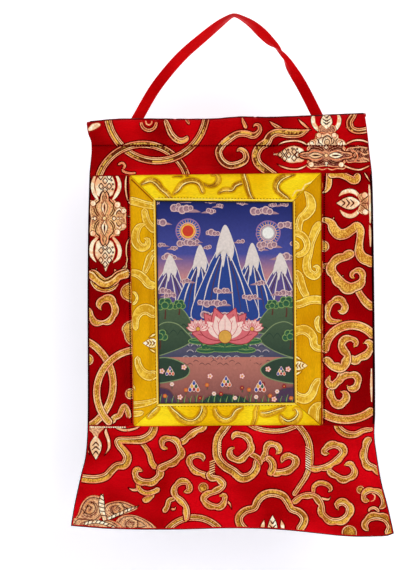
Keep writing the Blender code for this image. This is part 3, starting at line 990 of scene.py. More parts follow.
# Woven motifs of the red heading: style, level, points of the line (x, drop, width)
HEADING_BANDS = (
    ("ring", (2, 0), arc(-77, 92.5, 49.5, -30, 212, 9)),
    ("ring", (2, 0), arc(-91, 172, 46.5, 195, 345, 9)),
    ("plain", 0, arc(-85, 104.5, 7.4, -15, 195, 5.4)),
    ("edge_line", 0.4, arc(-85, 103.5, 3, -20, 200, 1.4)),
    ("scroll", 0, (
        (-69, 100, 4), (-66, 108, 6), (-62, 116.5, 6.5), (-55, 122, 6.5), (-48.5, 121, 6),
        (-46, 116.5, 4.5),
    )),
    ("plain", 0, ((-50, 101, 3), (-46.5, 102.5, 5.5), (-44.5, 107, 3))),
    ("plain", 0, (
        (-117, 147, 4), (-112, 144, 4.5), (-109, 147, 4.5), (-111, 152, 4.5), (-104, 154.5, 4.5),
        (-97, 154, 4),
    )),
    ("scroll", 1, (
        (18.7, 110, 0.6), (20.5, 106.6, 3), (24.6, 107, 4.4), (25.4, 112.3, 5.4), (19.7, 117, 7),
        (11, 115, 7), (3, 115.7, 7), (-5, 120.5, 7.5), (-11.5, 126, 7.5), (-15.4, 133, 7.5),
        (-12.5, 141.3, 7.5), (-5, 146.5, 7.5), (4.8, 145.3, 7.5), (11.8, 140.4, 7), (10.8, 133.4, 6),
        (5.8, 130.5, 5), (2, 133.5, 1),
    )),
    ("plain", 0.6, ((7.5, 97, 1.5), (9, 103, 5), (12.5, 111, 6))),
    ("scroll", 1, (
        (76, 110.5, 1), (66, 114.7, 8), (54, 115, 9), (43, 114, 8), (36, 117.5, 8.5), (32.5, 123.5, 9),
        (25.6, 128.5, 9), (21.8, 136.4, 9), (23.8, 144.3, 9), (30.5, 150.3, 9), (38, 155.5, 8.5),
        (44, 159, 8),
    )),
    ("plain", 0.6, ((63, 100, 1.5), (68, 105, 4.5), (74, 110, 3.5), (78, 112, 1))),
    ("plain", 0.6, ((34.5, 102, 1.5), (39, 106, 5), (45, 109.5, 5.5), (51, 113, 4))),
    ("cream", 2, (
        (42, 127.5, 1), (48, 124, 3.4), (56, 122.3, 3.6), (64, 122.4, 3.6), (71, 125, 3.4),
        (75, 129, 1),
    )),
    ("cream", 2, (
        (42, 144.5, 1), (48, 148, 3.4), (56, 150.2, 3.6), (64, 150.2, 3.6), (70, 148, 3.4),
        (75, 144, 1),
    )),
    ("cream", 2, (
        (109, 129, 1), (112.6, 125, 3.4), (120, 121.8, 3.6), (128, 121.8, 3.6), (136, 124.5, 3.2),
    )),
    ("cream", 2, (
        (107, 143.5, 1), (110.6, 147, 3.4), (118, 150, 3.6), (126, 150.8, 3.6), (136, 146.5, 3.2),
    )),
    ("rim", 2, (
        (80.5, 95.5, 1.4), (78.4, 99.5, 4.2), (79.2, 105.6, 4.6), (83, 110.6, 4.4), (88.5, 113.4, 3),
    )),
    ("rim", 2, (
        (103, 95.5, 1.4), (104.9, 99.5, 4.2), (104.3, 105.6, 4.6), (101, 110.6, 4.4), (95.5, 113.4, 3),
    )),
    ("scroll", 0, (
        (122, 90, 6), (119, 97, 6.5), (115, 103.5, 7), (116.5, 109.5, 7), (122, 112.3, 6.5),
        (129, 112, 6.5), (138, 109.5, 6.5),
    )),
    ("scroll", -0.3, ((110.2, 108.6, 0.4), (114, 109.5, 4), (119, 112, 5))),
)


def heading_spot(across, down):
    """Place on the heading of a point of the medallion, which lies on its side there."""
    shift = 0.8 * across if across < 8 else 6.4 + (across - 8) * 1.2
    return 92 + down, 136.6 - shift


def draw_heading():
    """Two linked rings, scrolls and a flower medallion across the heading."""
    weave = Weave()
    weave.patch(0, (
        (-146, 110), (-141, 105), (-134, 104.5), (-133, 107.5), (-139, 111.5), (-145, 113),
    ), CREAM_BODY)
    weave.bands(HEADING_BANDS)
    draw_medallion(weave, heading_spot)
    weave.patch(
        2.6,
        [heading_spot(across, down) for across, down in (
            (-8.6, 20), (8, 20), (10, 29), (10.4, 36), (7, 46), (-6, 46), (-9.4, 36), (-9.2, 29),
        )],
        COPPER_BODY,
    )
    for points in (
        ((116, 131, 0.6), (121, 133, 1.2), (123.4, 137.6, 1.3), (120.4, 143, 0.6)),
        ((125, 132.4, 0.6), (130, 135.6, 1.2), (135.4, 134, 0.6)),
        ((124, 141.4, 0.6), (129, 139, 1.2), (135.4, 142.4, 0.6)),
        ((72, 146.6, 0.6), (77, 150, 1.1), (83, 149.6, 1.1), (88, 151, 1.1), (93, 149.4, 0.6)),
        ((93, 149.4, 0.6), (98, 151, 1.1), (103, 149.6, 1.1), (109, 150, 1.1), (113, 147, 0.6)),
    ):
        weave.band("edge_line", 4.2, points)
    crest = (
        (73.4, 127), (75, 122.6), (79, 120.4), (81.6, 119.6), (81.3, 116), (85.2, 114), (89.5, 115.4),
        (92.8, 113.6), (96.4, 115.4), (100.6, 114.2), (104.2, 116.4), (104.6, 119.4), (109, 121.2),
        (111.6, 124), (112, 127), (94, 128.6),
    )
    weave.patch(3.2, crest, CREAM_BODY)
    for points in (
        ((81.5, 119.6, 0.6), (84, 122, 1.1), (83.6, 126, 0.6)),
        ((104, 119.6, 0.6), (101.6, 122, 1.1), (102, 126, 0.6)),
        ((76, 123.6, 0.5), (78.6, 122.8, 0.9), (80, 125.4, 0.5)),
        ((109.4, 123, 0.5), (107, 122.8, 0.9), (105.6, 125.4, 0.5)),
        (
            (88, 124.5, 0.6), (89, 119.6, 1.2), (92.8, 117.2, 1.3), (96.6, 119.6, 1.2),
            (97.6, 124.5, 0.6),
        ),
    ):
        weave.band("line", 4.2, points)
    weave.patch(2.6, (
        (86, 106.4), (98.8, 106.4), (102, 112), (97.5, 116), (88, 116), (83.6, 112),
    ), COPPER_BODY)
    weave.bud(4.0, (92, 110.4), (92, 93.5), 13.5)
    weave.dot(4.4, 92.8, 123.4, 3.0, (("brown", 0.8), ("cream", None)))
    weave.dot(5.0, 92.8, 123.4, 1.1, (("brown", 0.3), ("pale", None)))
    weave.stitches(((-144, STITCH_DROP), (136, STITCH_DROP)), 2.45, 1.5, 0.7, "gap")
    for first, last in ((-117, -107), (-106, -69), (-44, -34), (-18, -11), (21, 41), (69, 121)):
        weave.stitches(((first, STITCH_DROP), (last, STITCH_DROP)), 2.9, 1.9, 1.6)
    # Dark line along the top edge: painted shade where the sleeve rolls back over the rod
    for first, last in ((-144, -60), (-58, 20), (22, 132)):
        weave.band(
            "seam_line", 6,
            [(x, top_edge(x) + 0.9, 0.5 + 0.4 * math.sin(x * 0.21) ** 2) for x in spread(first, last, 22)],
        )
    weave.clip((
        (0, lambda drop: left_edge(drop) + 0.9, -1), (0, lambda drop: right_edge(drop) - 0.9, 1),
        (1, lambda x: upper_seam(x) - 0.4, 1), (1, lambda x: top_edge(x) - 31, -1),
    ))
    return weave.lay("heading_motifs", heading_point, RED_THREADS)


# Woven motifs of the left red strip
LEFT_BANDS = (
    ("plain", 0.6, (
        (-147, 254.5, 12), (-140.5, 256, 13), (-134, 261.5, 12.5), (-128, 264.5, 12.5), (-120, 261, 12),
        (-115, 256.5, 11.5), (-103, 253, 13),
    )),
    ("line", 1.2, (
        (-146, 250.6, 0.6), (-140, 252.6, 1.1), (-135.4, 258, 1.2), (-128.6, 262, 1.2),
        (-121.6, 258.6, 1.2), (-115.6, 253.6, 1.1), (-106, 250, 0.8),
    )),
    ("pale_line", 1.2, (
        (-146, 252.4, 0.6), (-140.6, 254.4, 1), (-136, 259.6, 1.1), (-128.6, 263.8, 1.1),
        (-121, 260.4, 1.1), (-115, 255.4, 1), (-106, 252, 0.8),
    )),
    ("line", 1.2, (
        (-140, 263, 0.6), (-134.6, 267.4, 1.1), (-128.6, 268.8, 1.2), (-122.6, 267.2, 1.1),
        (-117, 262.4, 0.6),
    )),
    ("plain", 0, ((-136.8, 248.6, 0.6), (-138.5, 253, 6), (-137, 259, 6))),
    ("plain", 0, ((-120, 249, 0.6), (-118, 253, 6), (-117, 258, 6))),
    ("plain", 0, ((-107, 243.6, 1), (-108, 247.5, 5), (-112, 252.5, 7))),
    ("knobby", 0, (
        (-132.3, 291.5, 1), (-134.1, 285.5, 6), (-130.2, 280.5, 8), (-123.3, 280.8, 8),
        (-119.8, 287.5, 7.5), (-120.3, 295.8, 7), (-125.5, 301.5, 6.5), (-132, 303.4, 5.5),
        (-138.5, 302.5, 7), (-142.5, 297.5, 7), (-143.3, 292, 5), (-147, 288, 4),
    )),
    ("hoop", (0, 2), arc(-169.3, 365, 48.6, -70, 70, 7.8)),
    ("hoop", (0, 2), arc(-94.5, 373, 42.6, 290, 130, 7.8)),
    ("broad", 0, (
        (-120.6, 405, 6), (-120, 399, 6.4), (-114.5, 396, 6.4), (-112, 390.5, 6.6),
        (-109.6, 387.2, 6.6), (-106.6, 391, 6.4), (-104.4, 400, 6),
    )),
    ("rim", 2, (
        (-138.6, 156, 2.6), (-141, 163, 3.8), (-141.4, 169.6, 4), (-139, 176.3, 4), (-135, 182.4, 1.6),
    )),
    ("rim", 2, (
        (-117.4, 156, 2.6), (-114.4, 163, 4), (-114.4, 169.6, 4.2), (-117.4, 176.3, 4),
        (-122, 182.4, 1.6),
    )),
    ("rim", 2, (
        (-136, 218, 3), (-141, 223.5, 4.2), (-142.8, 230, 4.4), (-142, 237.3, 4), (-137.7, 243.4, 1.2),
    )),
    ("rim", 2, (
        (-121, 218, 3), (-116, 224.5, 4.2), (-113.8, 232, 4.4), (-115.6, 239.4, 4), (-120.6, 244, 1.2),
    )),
    ("cream", 0, (
        (-107.2, 156, 3), (-108.2, 163, 3.6), (-108, 172, 3.6), (-106.4, 180, 3.4), (-103.6, 186, 3),
    )),
    ("cream", 0, (
        (-103.8, 218, 3), (-107, 225, 3.2), (-107.6, 234, 3), (-106.6, 241, 3), (-108.4, 247, 2.6),
    )),
    ("plain", 0, ((-107, 197, 2), (-103, 198, 6))),
)


# Lines of a quarter of the medallion: style and points (across, down, width)
MEDALLION_LINES = (
    ("line", (
        (1.4, 28, 0.7), (4.2, 24, 1.2), (5, 18, 1.2), (8.6, 14, 1.2), (8.2, 8, 1.2), (5, 3, 0.7),
    )),
    ("edge_line", (
        (1, 24.6, 0.6), (3, 21.6, 1), (3.4, 17.4, 0.9), (5.6, 13, 1), (5.4, 8.4, 1), (3.4, 3.4, 0.6),
    )),
    ("line", ((0.6, 24.6, 0.5), (1.8, 21.6, 0.9), (1.6, 18.6, 0.5))),
    ("line", ((8.6, 14, 0.8), (9, 17, 0.5))),
    ("line", ((5.6, 1.6, 0.7), (9, 5, 1.2), (10.6, 11, 0.7))),
    ("edge_line", ((6.6, 16.4, 0.6), (8, 19, 0.9), (11, 16, 0.9), (11, 12.6, 0.6))),
    ("cream_line", ((10, 3, 0.6), (11.6, 7, 1.2), (15, 9.6, 1.2), (17, 6, 0.6))),
    ("line", ((11.6, 3.4, 0.6), (13, 7, 1.1), (16, 7.4, 1.1), (17.6, 3, 0.6))),
)


def draw_medallion(weave, spot):
    """Flower body between two lotus buds: spot(across, down) gives the place of a point on it."""

    def placed(points):
        return [(*spot(*point[:2]), *point[2:]) for point in points]

    body = (
        (0.6, -28.8), (3.4, -25), (5.2, -20.5), (9, -17.5), (14.4, -17), (16.8, -12), (20.6, -11),
        (22.2, -6), (21.8, 0), (22.2, 6.4), (20.4, 11.4), (16.6, 12.6), (14.6, 17.4), (9, 18),
        (5.4, 20.5), (3.6, 25), (0.4, 28.4), (-3.4, 25), (-5, 20.5), (-8.6, 18.2), (-14.6, 17),
        (-15, 8), (-14, 0), (-15, -8), (-14.8, -18), (-8.4, -18), (-4.8, -20.5), (-3, -25),
    )
    half_bud = (
        (-7, 22), (6.6, 22), (10.4, 29), (11, 34), (8.6, 41.4), (4, 47), (1.2, 53.4), (-1.6, 47),
        (-6.6, 42), (-9.8, 36), (-9.4, 29),
    )
    for rise in (-1, 1):
        weave.patch(2, placed([(across, down * rise) for across, down in half_bud]), CREAM_BODY)
        for across, down in (
            (-3.4, 32), (4.6, 32), (0.6, 37.4), (0.6, 28.4), (-3.8, 41.6), (4.8, 41.6), (0.6, 46),
        ):
            weave.lattice(3.4, *spot(across, down * rise), 5, 6.6, 0.9)
        for across, down in ((8, 29), (8.4, 34), (7, 38)):
            weave.lattice(3.4, *spot(across, down * rise), 1.8, 1.8, 0.8)
    weave.patch(2.8, placed(body), COPPER_BODY)
    for across, down, radius in (
        (12.9, -13.6, 3.5), (19.2, -7.4, 3.1), (19.2, 7.8, 3.1), (12.7, 13.6, 3.3), (-11.4, -15, 3.2),
        (-11.6, 15, 3.2),
    ):
        weave.dot(3.6, *spot(across, down), radius, (("brown", 0.5), ("edge", 0.5), ("cream", None)))
    for down in (-10, 10):
        weave.petal("eye", 3.6, spot(0, down - 7.6), spot(0, down + 7.6), 7)
        weave.petal("line", 4.4, spot(0, down - 4.6), spot(0, down + 4.6), 1.7)
    for side in (-1, 1):
        for rise in (-1, 1):
            for style, points in MEDALLION_LINES:
                if side < 0 and points[1][0] > 9:
                    continue
                points = placed([(side * across, rise * down, wide) for across, down, wide in points])
                weave.band(style, 3.4, points)
        weave.patch(3.6, placed(
            [(side * across, down) for across, down in ((7.2, 0), (9.6, -2.6), (12, 0), (9.6, 2.6))],
        ), (("brown", 0.8), ("cream", None)))
    for across in (-12.2, 13.4, 16.4):
        weave.dot(3.8, *spot(across, 0), 1.3, (("brown", 0.4), ("cream", None)))
    weave.dot(4.4, *spot(0, 0), 2.1, (("brown", 0.5), ("pale", None)))


def draw_left():
    """Medallion, cloud scrolls and linked rings down the left strip."""
    weave = Weave()
    weave.bands(LEFT_BANDS)
    draw_medallion(weave, lambda across, down: (-129.3 + across, 199.5 + down))
    weave.patch(0.2, (
        (-143.4, 261), (-142.6, 266), (-137.6, 271.4), (-128.8, 273.8), (-120.4, 271.6),
        (-115.6, 266.8), (-114.2, 260.4), (-120, 257), (-128.6, 261), (-137, 257),
    ), GOLD_BODY)
    weave.dot(0, -146, 340.5, 6.2, GOLD_BODY)
    weave.dot(0, -103.5, 374.6, 5.8, GOLD_BODY)
    weave.patch(0, (
        (-98, 263), (-107, 264), (-112, 267.6), (-114, 272.6), (-112.6, 278), (-108, 281.6), (-98, 284),
    ), GOLD_BODY)
    weave.patch(0, (
        (-98, 301.4), (-106.5, 302), (-111, 306), (-112.6, 310.6), (-110.4, 315.4), (-109.4, 320),
        (-105.6, 325), (-98, 327),
    ), GOLD_BODY)
    weave.clip((
        (0, lambda drop: left_edge(drop) + 0.9, -1),
        (0, lambda drop: FRAME[0][0] - 0.5 + (drop - 156) * 0.016, 1),
        (1, lambda x: upper_seam(x) + 0.7, -1), (1, lambda x: lower_seam(x) - 0.7, 1),
    ))
    # Dark hem line down the outer edge, which also paints the shade where the edge turns under
    weave.band("seam_line", 1, [(left_edge(drop) + 0.6, drop, 0.9) for drop in spread(158, 404, 24)])
    weave.band("blush_line", 0.5, ((-104.3, 158, 0.6), (-103, 235, 0.6), (-100.4, 405, 0.6)))
    weave.stitches(((-106, 158), (-104.8, 235), (-102.1, 404)), 2.3, 1.4, 1.1)
    return weave.lay("left_side_motifs", red_point, SIDE_THREADS)


# Woven motifs of the right red strip
RIGHT_BANDS = (
    ("plain", 1, ((94.6, 150, 8), (94.8, 158, 8), (94.4, 166, 8.4), (92, 171.6, 6), (87, 174.6, 3.4))),
    ("plain", 1.4, (
        (93, 157, 8), (99, 155.6, 9), (106, 155.6, 9), (113, 158.4, 9), (119, 161.6, 10),
        (122.6, 160, 10), (123, 153, 8),
    )),
    ("plain", 0, ((128.5, 151, 2), (132.7, 158, 3.6), (136.5, 164, 2))),
    ("cream_line", 0.5, ((134.8, 165.5, 1.2), (135.7, 184, 2.4), (135.9, 204.5, 1.2))),
    ("cream_line", 0.5, ((135.4, 206, 0.8), (136, 215, 2.4), (136.2, 228, 0.8))),
    ("plain", 1, (
        (86, 201, 7.4), (92, 201.4, 8), (97, 204.5, 10.5), (99.4, 210, 12.6), (104.4, 215, 13.4),
        (111, 214.8, 12.4), (117.5, 210.8, 11.4), (122.6, 207.5, 11.4), (126, 211.5, 10.6),
        (126, 217.4, 9.6), (125, 224.6, 9.6), (125, 233, 11.6), (128.6, 239, 13), (134.5, 241.8, 13),
        (142, 246, 13),
    )),
    ("plain", 0.2, ((100.4, 197.2, 0.6), (98.6, 201, 5), (98, 206, 7))),
    ("knobby", 0.7, (
        (121, 233.4, 7), (113, 237, 9.4), (105, 240, 9), (98.6, 244.6, 9.4), (97.6, 251, 9.8),
        (101, 257, 10), (106, 263, 11), (111, 267.4, 12), (117, 268.6, 11), (123, 266, 9.5),
        (127.4, 261.6, 7.6), (127.8, 256, 7), (124.2, 252, 6.4), (119.8, 252.6, 5.4), (118, 256.4, 4.4),
        (120.4, 258.8, 2),
    )),
    ("plain", 0, ((98.6, 237.4, 1), (98, 241, 6), (96, 245, 8))),
    ("plain", 0, ((109.6, 255.6, 1), (107, 258.6, 6), (105, 262, 8))),
    ("plain", 0, ((97, 246.6, 8), (86, 247.4, 7))),
    ("broad", 0, ((122, 268.5, 7), (126.5, 276.5, 7.5), (132.5, 284, 8.5), (141, 290, 9))),
    ("knobby", 0, (
        (103.4, 291.5, 2), (107.5, 292, 6), (110.3, 287.6, 7.5), (107.6, 282.4, 7.5), (102.1, 281, 7),
        (97.2, 284.2, 6.5), (94.3, 290, 6.5), (93.7, 296, 6), (96.7, 301.2, 6.5), (101.7, 302.4, 6),
        (107, 300.5, 2),
    )),
    ("hoop", 0.9, arc(117.5, 333, 27, 176, 330, 9.4)),
    ("knobby", 1.4, (
        (88, 338.5, 6), (93.5, 343, 8), (99.8, 347.8, 9), (106.9, 349, 9.5), (112.4, 343.3, 9),
        (113.2, 336, 8), (109.8, 330.4, 8), (107.4, 325.5, 8.5), (111, 320.9, 7.5), (117, 319.6, 6.5),
        (121, 323.5, 5.5), (119, 328, 2.5),
    )),
    ("knobby", 1, (
        (114.6, 336.3, 6), (120.5, 340.6, 8.5), (127, 337.5, 8), (133, 334, 8), (136.3, 328.4, 7.5),
        (133.6, 323.4, 6), (129, 324.5, 2.5),
    )),
    ("knobby", 0.8, ((107, 352, 6), (105, 360, 8), (98.4, 365.6, 8), (93.9, 362, 7), (96.5, 357, 2.5))),
    ("knobby", 0.8, (
        (105, 361, 7), (112, 356.8, 7), (119.8, 356.2, 7.2), (123.6, 361.5, 7.5), (121, 367.6, 7),
        (115.5, 369, 6), (112.9, 366, 2.5),
    )),
    ("knobby", 0.4, (
        (97, 368, 6), (97.2, 376.6, 8), (100.6, 383, 8.5), (106.8, 384.3, 9), (111, 379.4, 8),
        (110.1, 374, 6), (106, 372.5, 2.5),
    )),
    ("hoop", 0.2, arc(111.5, 357, 43.4, 128, 48, 9)),
    ("cream_line", 0.5, ((137.2, 349, 0.8), (137, 366, 2.2), (137.4, 383, 0.8))),
    ("rim", 2, (
        (104.4, 177.4, 1), (108.6, 173.6, 4.2), (115, 171.8, 4.8), (121.4, 173.8, 4.6), (126, 179.4, 3),
    )),
    ("rim", 2, (
        (105.4, 191, 1), (109.8, 195.6, 4.2), (116, 197.6, 4.8), (122, 195, 4.6), (126.4, 189, 3),
    )),
)


def draw_right():
    """Lotus, cloud scrolls, a ring and leaf clusters down the right strip."""
    weave = Weave()
    weave.bands(RIGHT_BANDS)
    weave.patch(2.4, (
        (123, 177), (129, 174), (134.5, 178), (133.5, 184.5), (134.5, 192), (129.5, 196), (123, 192),
        (125.5, 184.5),
    ), COPPER_BODY)
    weave.dot(3.2, 130.5, 176.4, 3.4)
    weave.dot(3.2, 131.2, 193, 3.4)
    weave.bud(3.2, (126, 184.3), (101.5, 184.3), 14.6)
    weave.dot(0, 89.5, 227.4, 6, GOLD_BODY)
    for start, end in (
        ((126, 183.4), (134, 177)), ((126, 185.4), (134, 192)), ((126.6, 184.4), (133.6, 184.4)),
    ):
        weave.band("line", 4, ((*start, 0.9), (*end, 0.9)))
    for first, last in ((163, 171), (195, 206), (220, 231), (242, 254), (285, 405)):
        weave.band("blush_line", 0.5, (
            (88.1, first, 0.8), (88.2, (first + last) / 2, 0.8), (88.1, last, 0.8),
        ))
    weave.stitches(((89.9, 157), (89.9, 404)), 2.3, 1.4, 1.1)
    weave.clip((
        (0, lambda drop: right_edge(drop) - 0.9, 1), (0, lambda drop: FRAME[1][0] + 0.9, -1),
        (1, lambda x: upper_seam(x) + 0.7, -1), (1, lambda x: lower_seam(x) - 0.7, 1),
    ))
    # Dark hem line down the outer edge, which also paints the shade where the edge turns under
    weave.band("seam_line", 1, [(right_edge(drop) - 0.8, drop, 1.5) for drop in spread(155, 405, 24)])
    return weave.lay("right_side_motifs", red_point, SIDE_THREADS)


# Woven motifs of the red skirt
SKIRT_BANDS = (
    ("cream", 2, (
        (-127, 408, 1.2), (-128, 412.8, 5), (-125.5, 420.3, 5), (-125, 428.8, 4.4), (-130, 436.8, 1),
    )),
    ("cream", 2, ((-149, 413, 4), (-147.5, 419, 4.4), (-147, 428.8, 4), (-143.5, 436, 1))),
    ("plain", 0, (
        (-121, 403.5, 4), (-117, 408.5, 4.4), (-108.5, 411, 4.6), (-98, 409, 4), (-92, 405, 3),
    )),
    ("scroll", 1, (
        (-80.5, 401.5, 8), (-80, 408.6, 8.5), (-83.5, 415.8, 9), (-92, 420.4, 8.5), (-104.2, 421, 7.5),
        (-115.5, 421.4, 7.5), (-114.5, 426.4, 7.5), (-109.7, 431.9, 8), (-106.4, 438.4, 9),
        (-109.5, 445.5, 9), (-117, 446.8, 8), (-122.3, 451.2, 8), (-128.7, 457.6, 8.5),
        (-140.4, 460, 8.5), (-156, 458, 8.5),
    )),
    ("plain", 0.4, (
        (-94, 422, 6), (-88.5, 428, 7), (-84.5, 435, 7.5), (-81.9, 444, 8), (-76.5, 450, 8),
    )),
    ("lobed", 0.8, (
        (-77.5, 451, 7), (-73, 448, 8), (-66.5, 445.2, 8), (-59.5, 441.6, 8), (-53.6, 435.8, 8),
        (-54.4, 429.2, 7.5), (-58, 422.6, 7), (-64.6, 419.4, 6.5), (-70.9, 421.6, 6.5),
        (-71.2, 427.4, 6), (-66.4, 428.4, 2.5),
    )),
    ("lobed", 0.4, (
        (-57.5, 424, 6), (-48.8, 420, 7), (-41.6, 413.3, 7.5), (-33, 409, 7), (-28, 403, 6),
    )),
    ("lobed", 0.6, (
        (-75.5, 447, 8), (-74.8, 456, 8), (-82, 462, 8), (-91.5, 462.2, 8), (-98.2, 457.2, 7.5),
        (-96.8, 451, 6), (-90.6, 452.6, 2),
    )),
    ("plain", 0.3, (
        (-95.7, 461, 6), (-95, 469.4, 7), (-88, 473.8, 7), (-80, 472.2, 7.2), (-73.6, 468.4, 7.5),
    )),
    ("plain", 0.2, ((-95, 470, 5), (-101, 470.8, 4.5), (-106.6, 468, 1.2))),
    ("plain", 0.1, ((-79, 474.4, 4), (-82.6, 477.4, 6.4), (-88, 480.4, 8.6), (-92.6, 479.6, 6))),
    ("lobed", 0.6, (
        (-31, 442.6, 2), (-31.8, 438.2, 5.5), (-37.6, 436.4, 6), (-43.4, 439.6, 6.5),
        (-43.2, 446.4, 6.8), (-36.6, 452.2, 7), (-27.6, 455.4, 7), (-17, 457, 7),
    )),
    ("lobed", 1.2, (
        (-25.4, 451, 7), (-22.4, 457.6, 7.2), (-14.8, 459.6, 7.2), (-10.5, 465, 7.4), (-15.4, 471, 7.2),
        (-25.6, 474.8, 7), (-30.3, 480, 7.4), (-24.3, 485.3, 7.4), (-15.8, 487.2, 7.4),
        (-10.3, 482.5, 7), (-10, 477, 6), (-14.2, 477.4, 2),
    )),
    ("plain", 0.2, ((-9, 481, 4), (-4.4, 484.4, 4), (-2, 491, 1))),
    ("lobed", 0.8, (
        (-51, 472.6, 1.6), (-45.6, 470, 6.5), (-46.4, 463.6, 7), (-53, 463, 7), (-58.6, 467.6, 6.5),
        (-58.2, 476.2, 7), (-51.6, 481.6, 7), (-47, 490, 7), (-47.6, 502, 7),
    )),
    ("plain", 0.6, ((-57.5, 479, 6), (-64.6, 480.8, 7), (-66.8, 487.4, 7.2), (-71.2, 493.6, 8))),
    ("plain", 0.4, ((-64, 489, 5), (-59.4, 489.6, 4), (-58, 486, 1.4))),
    ("ring", 0.2, arc(-40.3, 531.6, 33.8, 205, 335, 8.4)),
    ("scroll", 0.4, (
        (-2.6, 400, 8), (-9, 408.6, 8.6), (-15.8, 418.3, 8.6), (-17.6, 429.1, 8.6), (-16, 439, 9),
        (-9.6, 446.7, 9), (-1, 452, 9), (7.6, 458.6, 9.6), (16.5, 456.3, 9), (22, 449.5, 8.6),
        (23, 443, 8), (27, 437.4, 8),
    )),
    ("ring", 0.2, (
        (58, 402, 7), (66.5, 409, 8), (73.6, 420, 8.5), (76, 432, 8.5), (75.8, 445.4, 8.2),
        (72, 456.4, 7.4), (66, 466, 7), (58.6, 477.2, 7),
    )),
    ("ring", 0, ((10, 401, 6), (20, 408, 6.6), (35.2, 411.6, 7), (50, 411, 7), (66, 405, 6.6))),
    ("lobed", 0.8, (
        (-2, 421.4, 1.6), (1.4, 415.9, 6), (9.4, 416.4, 7), (15.4, 422.5, 7.4), (16, 430.2, 7.6),
        (10.6, 436.4, 7.6), (3.4, 440.6, 7.4), (-2.9, 436.6, 7), (-3.6, 430.6, 6), (0.5, 429.2, 2),
    )),
    ("plain", 0.6, ((13.5, 434.3, 6), (20, 436.4, 7.4), (25.3, 440.4, 7.4), (27, 447, 6.5))),
    ("lobed", 0.6, (
        (27, 443, 6.5), (31, 437, 7), (32, 430.4, 7), (35.5, 425.6, 7), (42, 426, 7), (44.4, 431.6, 6),
        (41.4, 435, 2),
    )),
    ("scroll", 0.8, (
        (30.8, 437.4, 6.5), (37, 441.4, 7.4), (39, 447.4, 8), (36.5, 453.4, 8), (33, 451, 5),
    )),
    ("lobed", 0.7, (
        (35, 450, 7), (43, 453, 8), (51.6, 451.6, 7.6), (59, 447.7, 8), (60.8, 440.4, 7.6),
        (55.2, 437, 7), (49.2, 439.6, 6), (47.3, 444.3, 2),
    )),
    ("lobed", 0.4, (
        (74, 447.6, 6), (84, 449, 7), (94, 446, 7.4), (102.4, 440.2, 8), (108.6, 433.6, 8.6),
        (106, 427.6, 8.6), (99.4, 425.8, 8), (92.6, 428.4, 7.6), (90.3, 432.5, 6.5), (95, 433.6, 2),
    )),
    ("lobed", 0.6, (
        (92.8, 448.9, 6), (100.5, 455.4, 7), (109.2, 459.4, 7.6), (117, 457, 7.4), (119.8, 450.8, 7),
        (116, 445.3, 6), (110, 446, 2),
    )),
    ("scroll", 0.8, (
        (14, 513, 8.4), (6.6, 506, 8.4), (5, 498, 8.4), (11, 491.6, 8), (20.2, 488.6, 7.6),
        (23.4, 482, 8), (29.4, 476, 8.4), (38.5, 473.8, 8.4), (48.6, 476.6, 8.4), (54, 483.6, 8),
        (57.4, 489.6, 7.6), (65.2, 492.8, 8), (70.2, 499.4, 8.4), (67.4, 507.3, 8.4), (62, 512, 8),
    )),
    ("lobed", 0.6, (
        (57.3, 484.6, 6), (64, 478.6, 6.6), (74, 475.2, 7), (82.8, 478, 7.4), (87, 485.3, 7.6),
        (88.6, 494.6, 8), (95.9, 500.4, 8), (105.2, 500.8, 8.4), (113, 495.6, 8.8), (114.4, 487.3, 8.8),
        (108.6, 482.6, 8), (102.4, 485.2, 6.6), (104.7, 489.5, 2),
    )),
    ("plain", 0.4, (
        (79.3, 475, 6), (79.6, 467.3, 6.6), (85.5, 463.4, 7), (93, 465, 7), (96.4, 469.5, 6),
        (93, 473, 2),
    )),
    ("plain", 0.4, ((85, 478, 4), (90, 479.4, 4.4), (94.6, 479.4, 3.6), (96.4, 475.6, 1))),
    ("lobed", 0.6, (
        (137.6, 418, 7), (133, 423.4, 7.6), (130.6, 431, 8), (130, 439.4, 8.4), (133.6, 445.6, 8.6),
        (140.2, 448.8, 8), (148, 455, 5),
    )),
    ("lobed", 0.8, (
        (144, 489.4, 3), (148.6, 484.6, 6), (148, 477.6, 6.6), (143, 472.4, 6.6), (136, 471.2, 6.4),
        (129.6, 474.6, 6.4), (130.4, 479.6, 6), (135, 480.6, 2.5),
    )),
    ("edge_line", 1.6, ((137, 473.6, 0.6), (140.4, 476, 1.2), (139.6, 480.4, 1.2), (136, 482, 0.6))),
    ("plain", 0.6, (
        (134, 493.4, 4), (135, 489.8, 4.6), (139.6, 488.2, 5), (143.6, 491.2, 5), (141.4, 495, 4),
    )),
    ("lobed", 1, (
        (134.6, 511.4, 3), (130.8, 505.6, 7), (133.8, 499.4, 8.4), (142.3, 497, 9), (151, 499.5, 9),
        (155.5, 507, 9), (151, 515.9, 8),
    )),
    ("scroll", 0.6, (
        (102, 401, 7), (104.4, 409, 8), (112, 414.6, 8), (121, 415.2, 7), (129.6, 411.2, 6),
        (140, 409.6, 5),
    )),
)


